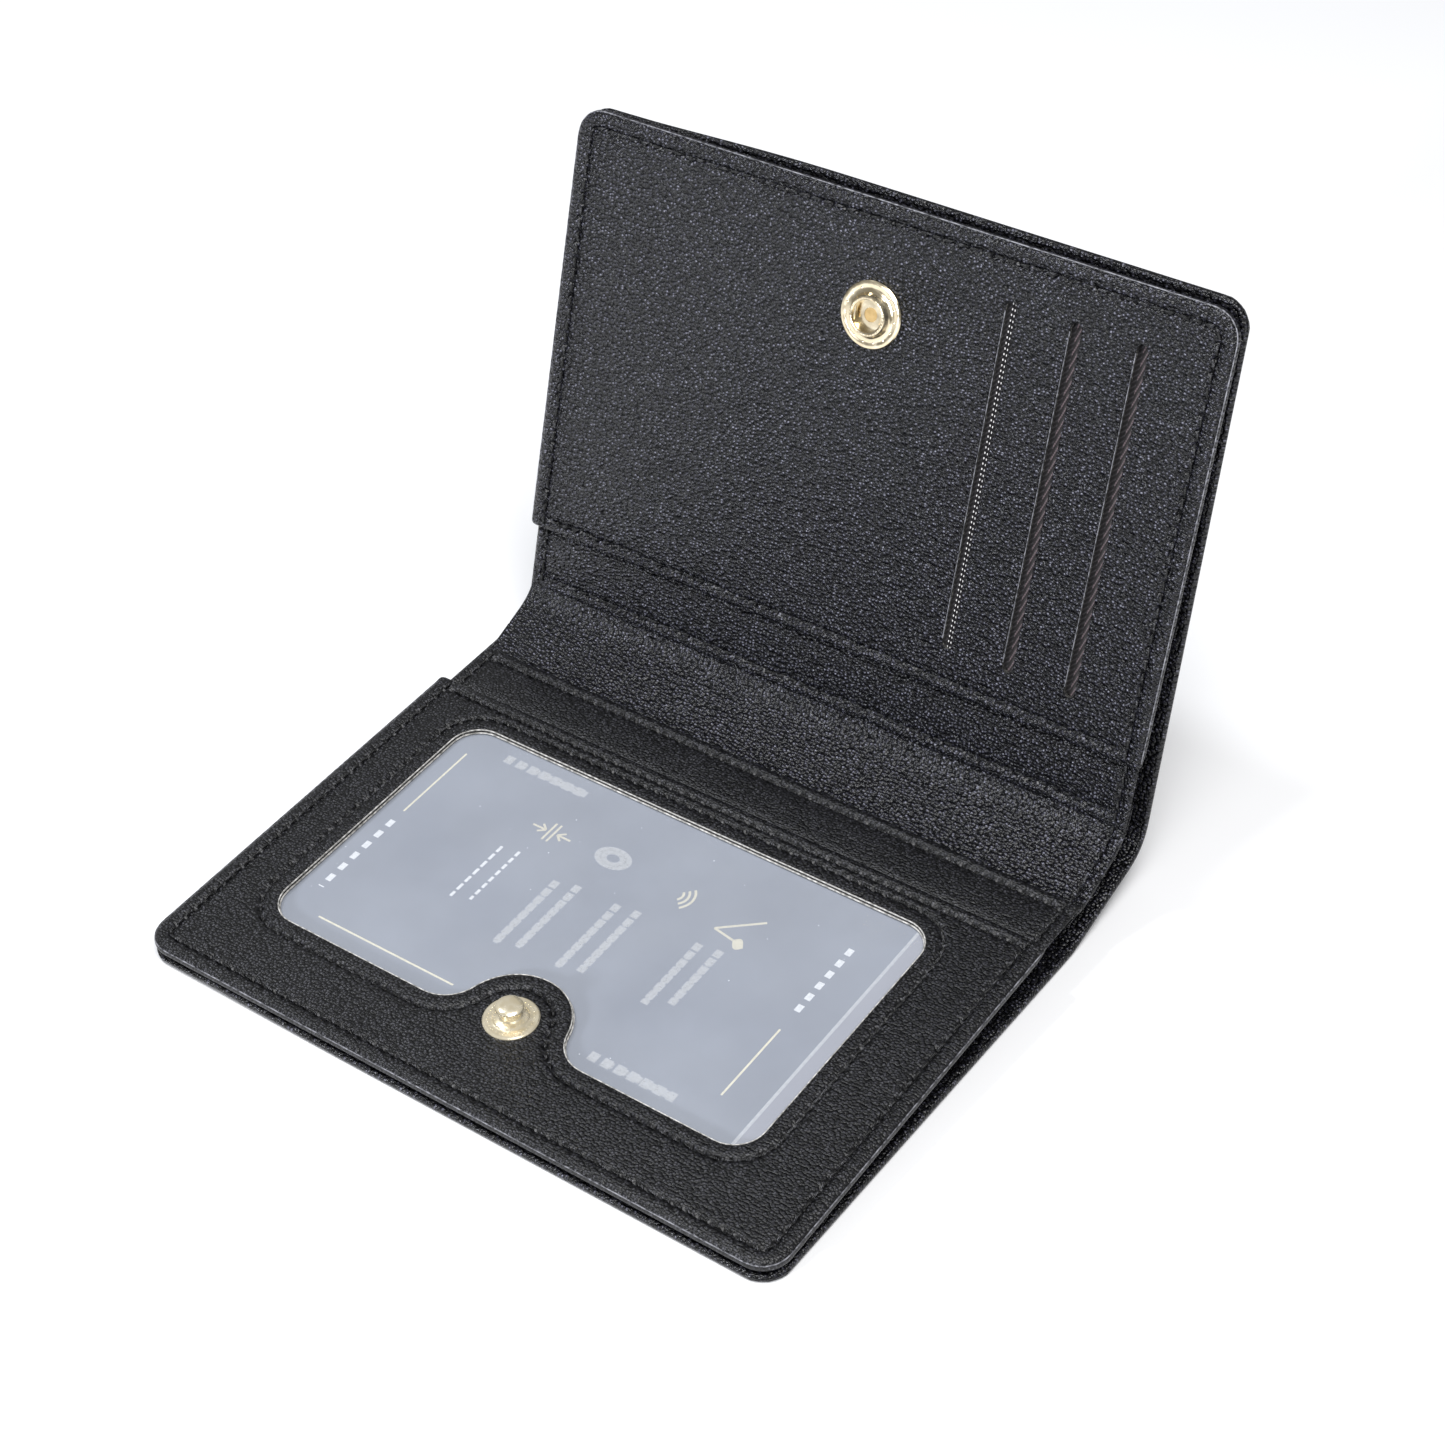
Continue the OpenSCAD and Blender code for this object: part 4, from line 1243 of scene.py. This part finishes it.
def snap():
    flange, head, top = (stud_hi[0] - stud_lo[0]) / 2, 2.1, stud_hi[2]
    stud = turned([
        (0.05, 0), (flange - 0.15, 0), (flange, 0.12), (flange, 0.28), (flange - 0.2, 0.46),
        (flange - 0.5, 0.5), (3.1, 0.42), (2.75, 0.5), (2.55, 0.72), (2.2, 0.82), (1.8, 0.9), (1.58, 1.1),
        (1.5, 1.5), (1.5, 2.1), (1.65, 2.3), (head - 0.1, 2.5), (head, 2.68), (head - 0.05, 2.85),
        (head - 0.3, 3.03), (head - 0.8, top - 0.07), (0.6, top), (0.05, top)], 72, False)
    marks = ring_of_beads(36, 3.4, 0.46, 0.12) + ring_of_beads(20, 2.38, 0.8, 0.1)
    snap_piece("stud_body", ID, [stud] + marks, "id_leaf", "snap_stud", stud_gold)
    rim = (socket_hi[0] - socket_lo[0]) / 2
    bore, mouth, crown = 1.12, 2.45, 1.7
    socket = turned([
        (bore, 0), (rim - 0.2, 0), (rim, 0.15), (rim, 0.4), (rim - 0.15, 0.56), (rim - 0.45, 0.64),
        (4.4, 0.56), (3.8, 0.56), (3.5, 0.66), (3.3, 0.9), (3.18, crown - 0.25), (3.05, crown - 0.05),
        (2.93, crown), (2.64, crown), (2.5, crown - 0.06), (mouth, crown - 0.25), (mouth, 0.35),
        (bore, 0.35)], 64)
    marks = ring_of_beads(15, 4.25, 0.56, 0.2, 0.5, (3, 4, 9)) + ring_of_beads(36, 2.8, crown, 0.14)
    snap_piece("socket_body", SNAP, [socket] + marks, "snap_leaf", "snap_socket", socket_gold)
    wires = [rod((x, -1.2, 1.15), (x, 1.2, 1.15), 0.2) for x in (-2.33, 2.33)]
    snap_piece("spring_wires", SNAP, wires, "snap_leaf", "socket_spring", socket_gold)
    # the rivets take the darkened brass as painted shade inside the snap's holes
    for node in ("stud_rivet", "socket_rivet"):
        cad = frame["nodes"][node]
        cad.data.materials.clear()
        cad.data.materials.append(rivet_brass_painted_shade)


lying_leaf()
window_card()
standing_leaf()
backings()
liner_backing(spine_liner())
cover()
snap()

# ---- camera, floor and light ----

EYE = Vector((196.8, -260.4, 290.3)) * MM
HEADING, PITCH, ROLL = math.radians(35.94), math.radians(-38.4), math.radians(0.86)
LENS, SENSOR = 70.94, 36.0


def camera():
    data = bpy.data.cameras.new("camera")
    data.lens, data.sensor_width = LENS, SENSOR
    obj = bpy.data.objects.new("camera", data)
    forward = Vector((-math.sin(HEADING) * math.cos(PITCH), math.cos(HEADING) * math.cos(PITCH),
                      math.sin(PITCH)))
    turn = forward.to_track_quat("-Z", "Y")
    obj.matrix_world = Matrix.Translation(EYE) @ turn.to_matrix().to_4x4() @ Matrix.Rotation(-ROLL, 4, "Z")
    bpy.context.scene.collection.objects.link(obj)
    bpy.context.scene.camera = obj


def area_light(name, where, size, power, aim=(0, 0.01, 0.02), tint=(1, 1, 1)):
    data = bpy.data.lights.new(name, "AREA")
    data.shape, data.size, data.energy, data.color = "SQUARE", size, power, tint
    obj = bpy.data.objects.new(name, data)
    obj.location = where
    obj.rotation_euler = (Vector(aim) - Vector(where)).to_track_quat("-Z", "Y").to_euler()
    bpy.context.scene.collection.objects.link(obj)


def studio():
    mesh = bpy.data.meshes.new("floor")
    r = 6.0
    mesh.from_pydata([(-r, -r, 0), (r, -r, 0), (r, r, 0), (-r, r, 0)], [], [(0, 1, 2, 3)])
    floor = bpy.data.objects.new("floor", mesh)
    bpy.context.scene.collection.objects.link(floor)
    mesh.materials.append(mottled("floor_paper", False, 3.0, 2.0, [
        (0, (0.93, 0.93, 0.94)), (1, (0.95, 0.95, 0.955))], Roughness=0.9, Specular_IOR_Level=0.1))
    world = bpy.data.worlds.new("studio")
    bpy.context.scene.world = world
    world.use_nodes = True
    back = world.node_tree.nodes["Background"]
    back.inputs["Color"].default_value = (0.97, 0.98, 1.0, 1)
    back.inputs["Strength"].default_value = 0.32
    area_light("key_softbox", (0.34, -0.3, 1.0), 0.6, 11.0)
    area_light("front_lamp", (-0.22, -0.84, 0.21), 0.08, 4.0, (0.02, 0.03, 0.05), (0.9, 0.93, 1.0))
    area_light("left_lamp", (-0.52, -0.12, 0.85), 0.1, 2.6, (0, 0.02, 0.01), (0.93, 0.96, 1.0))
    bpy.context.scene.view_settings.view_transform = "Standard"


camera()
studio()
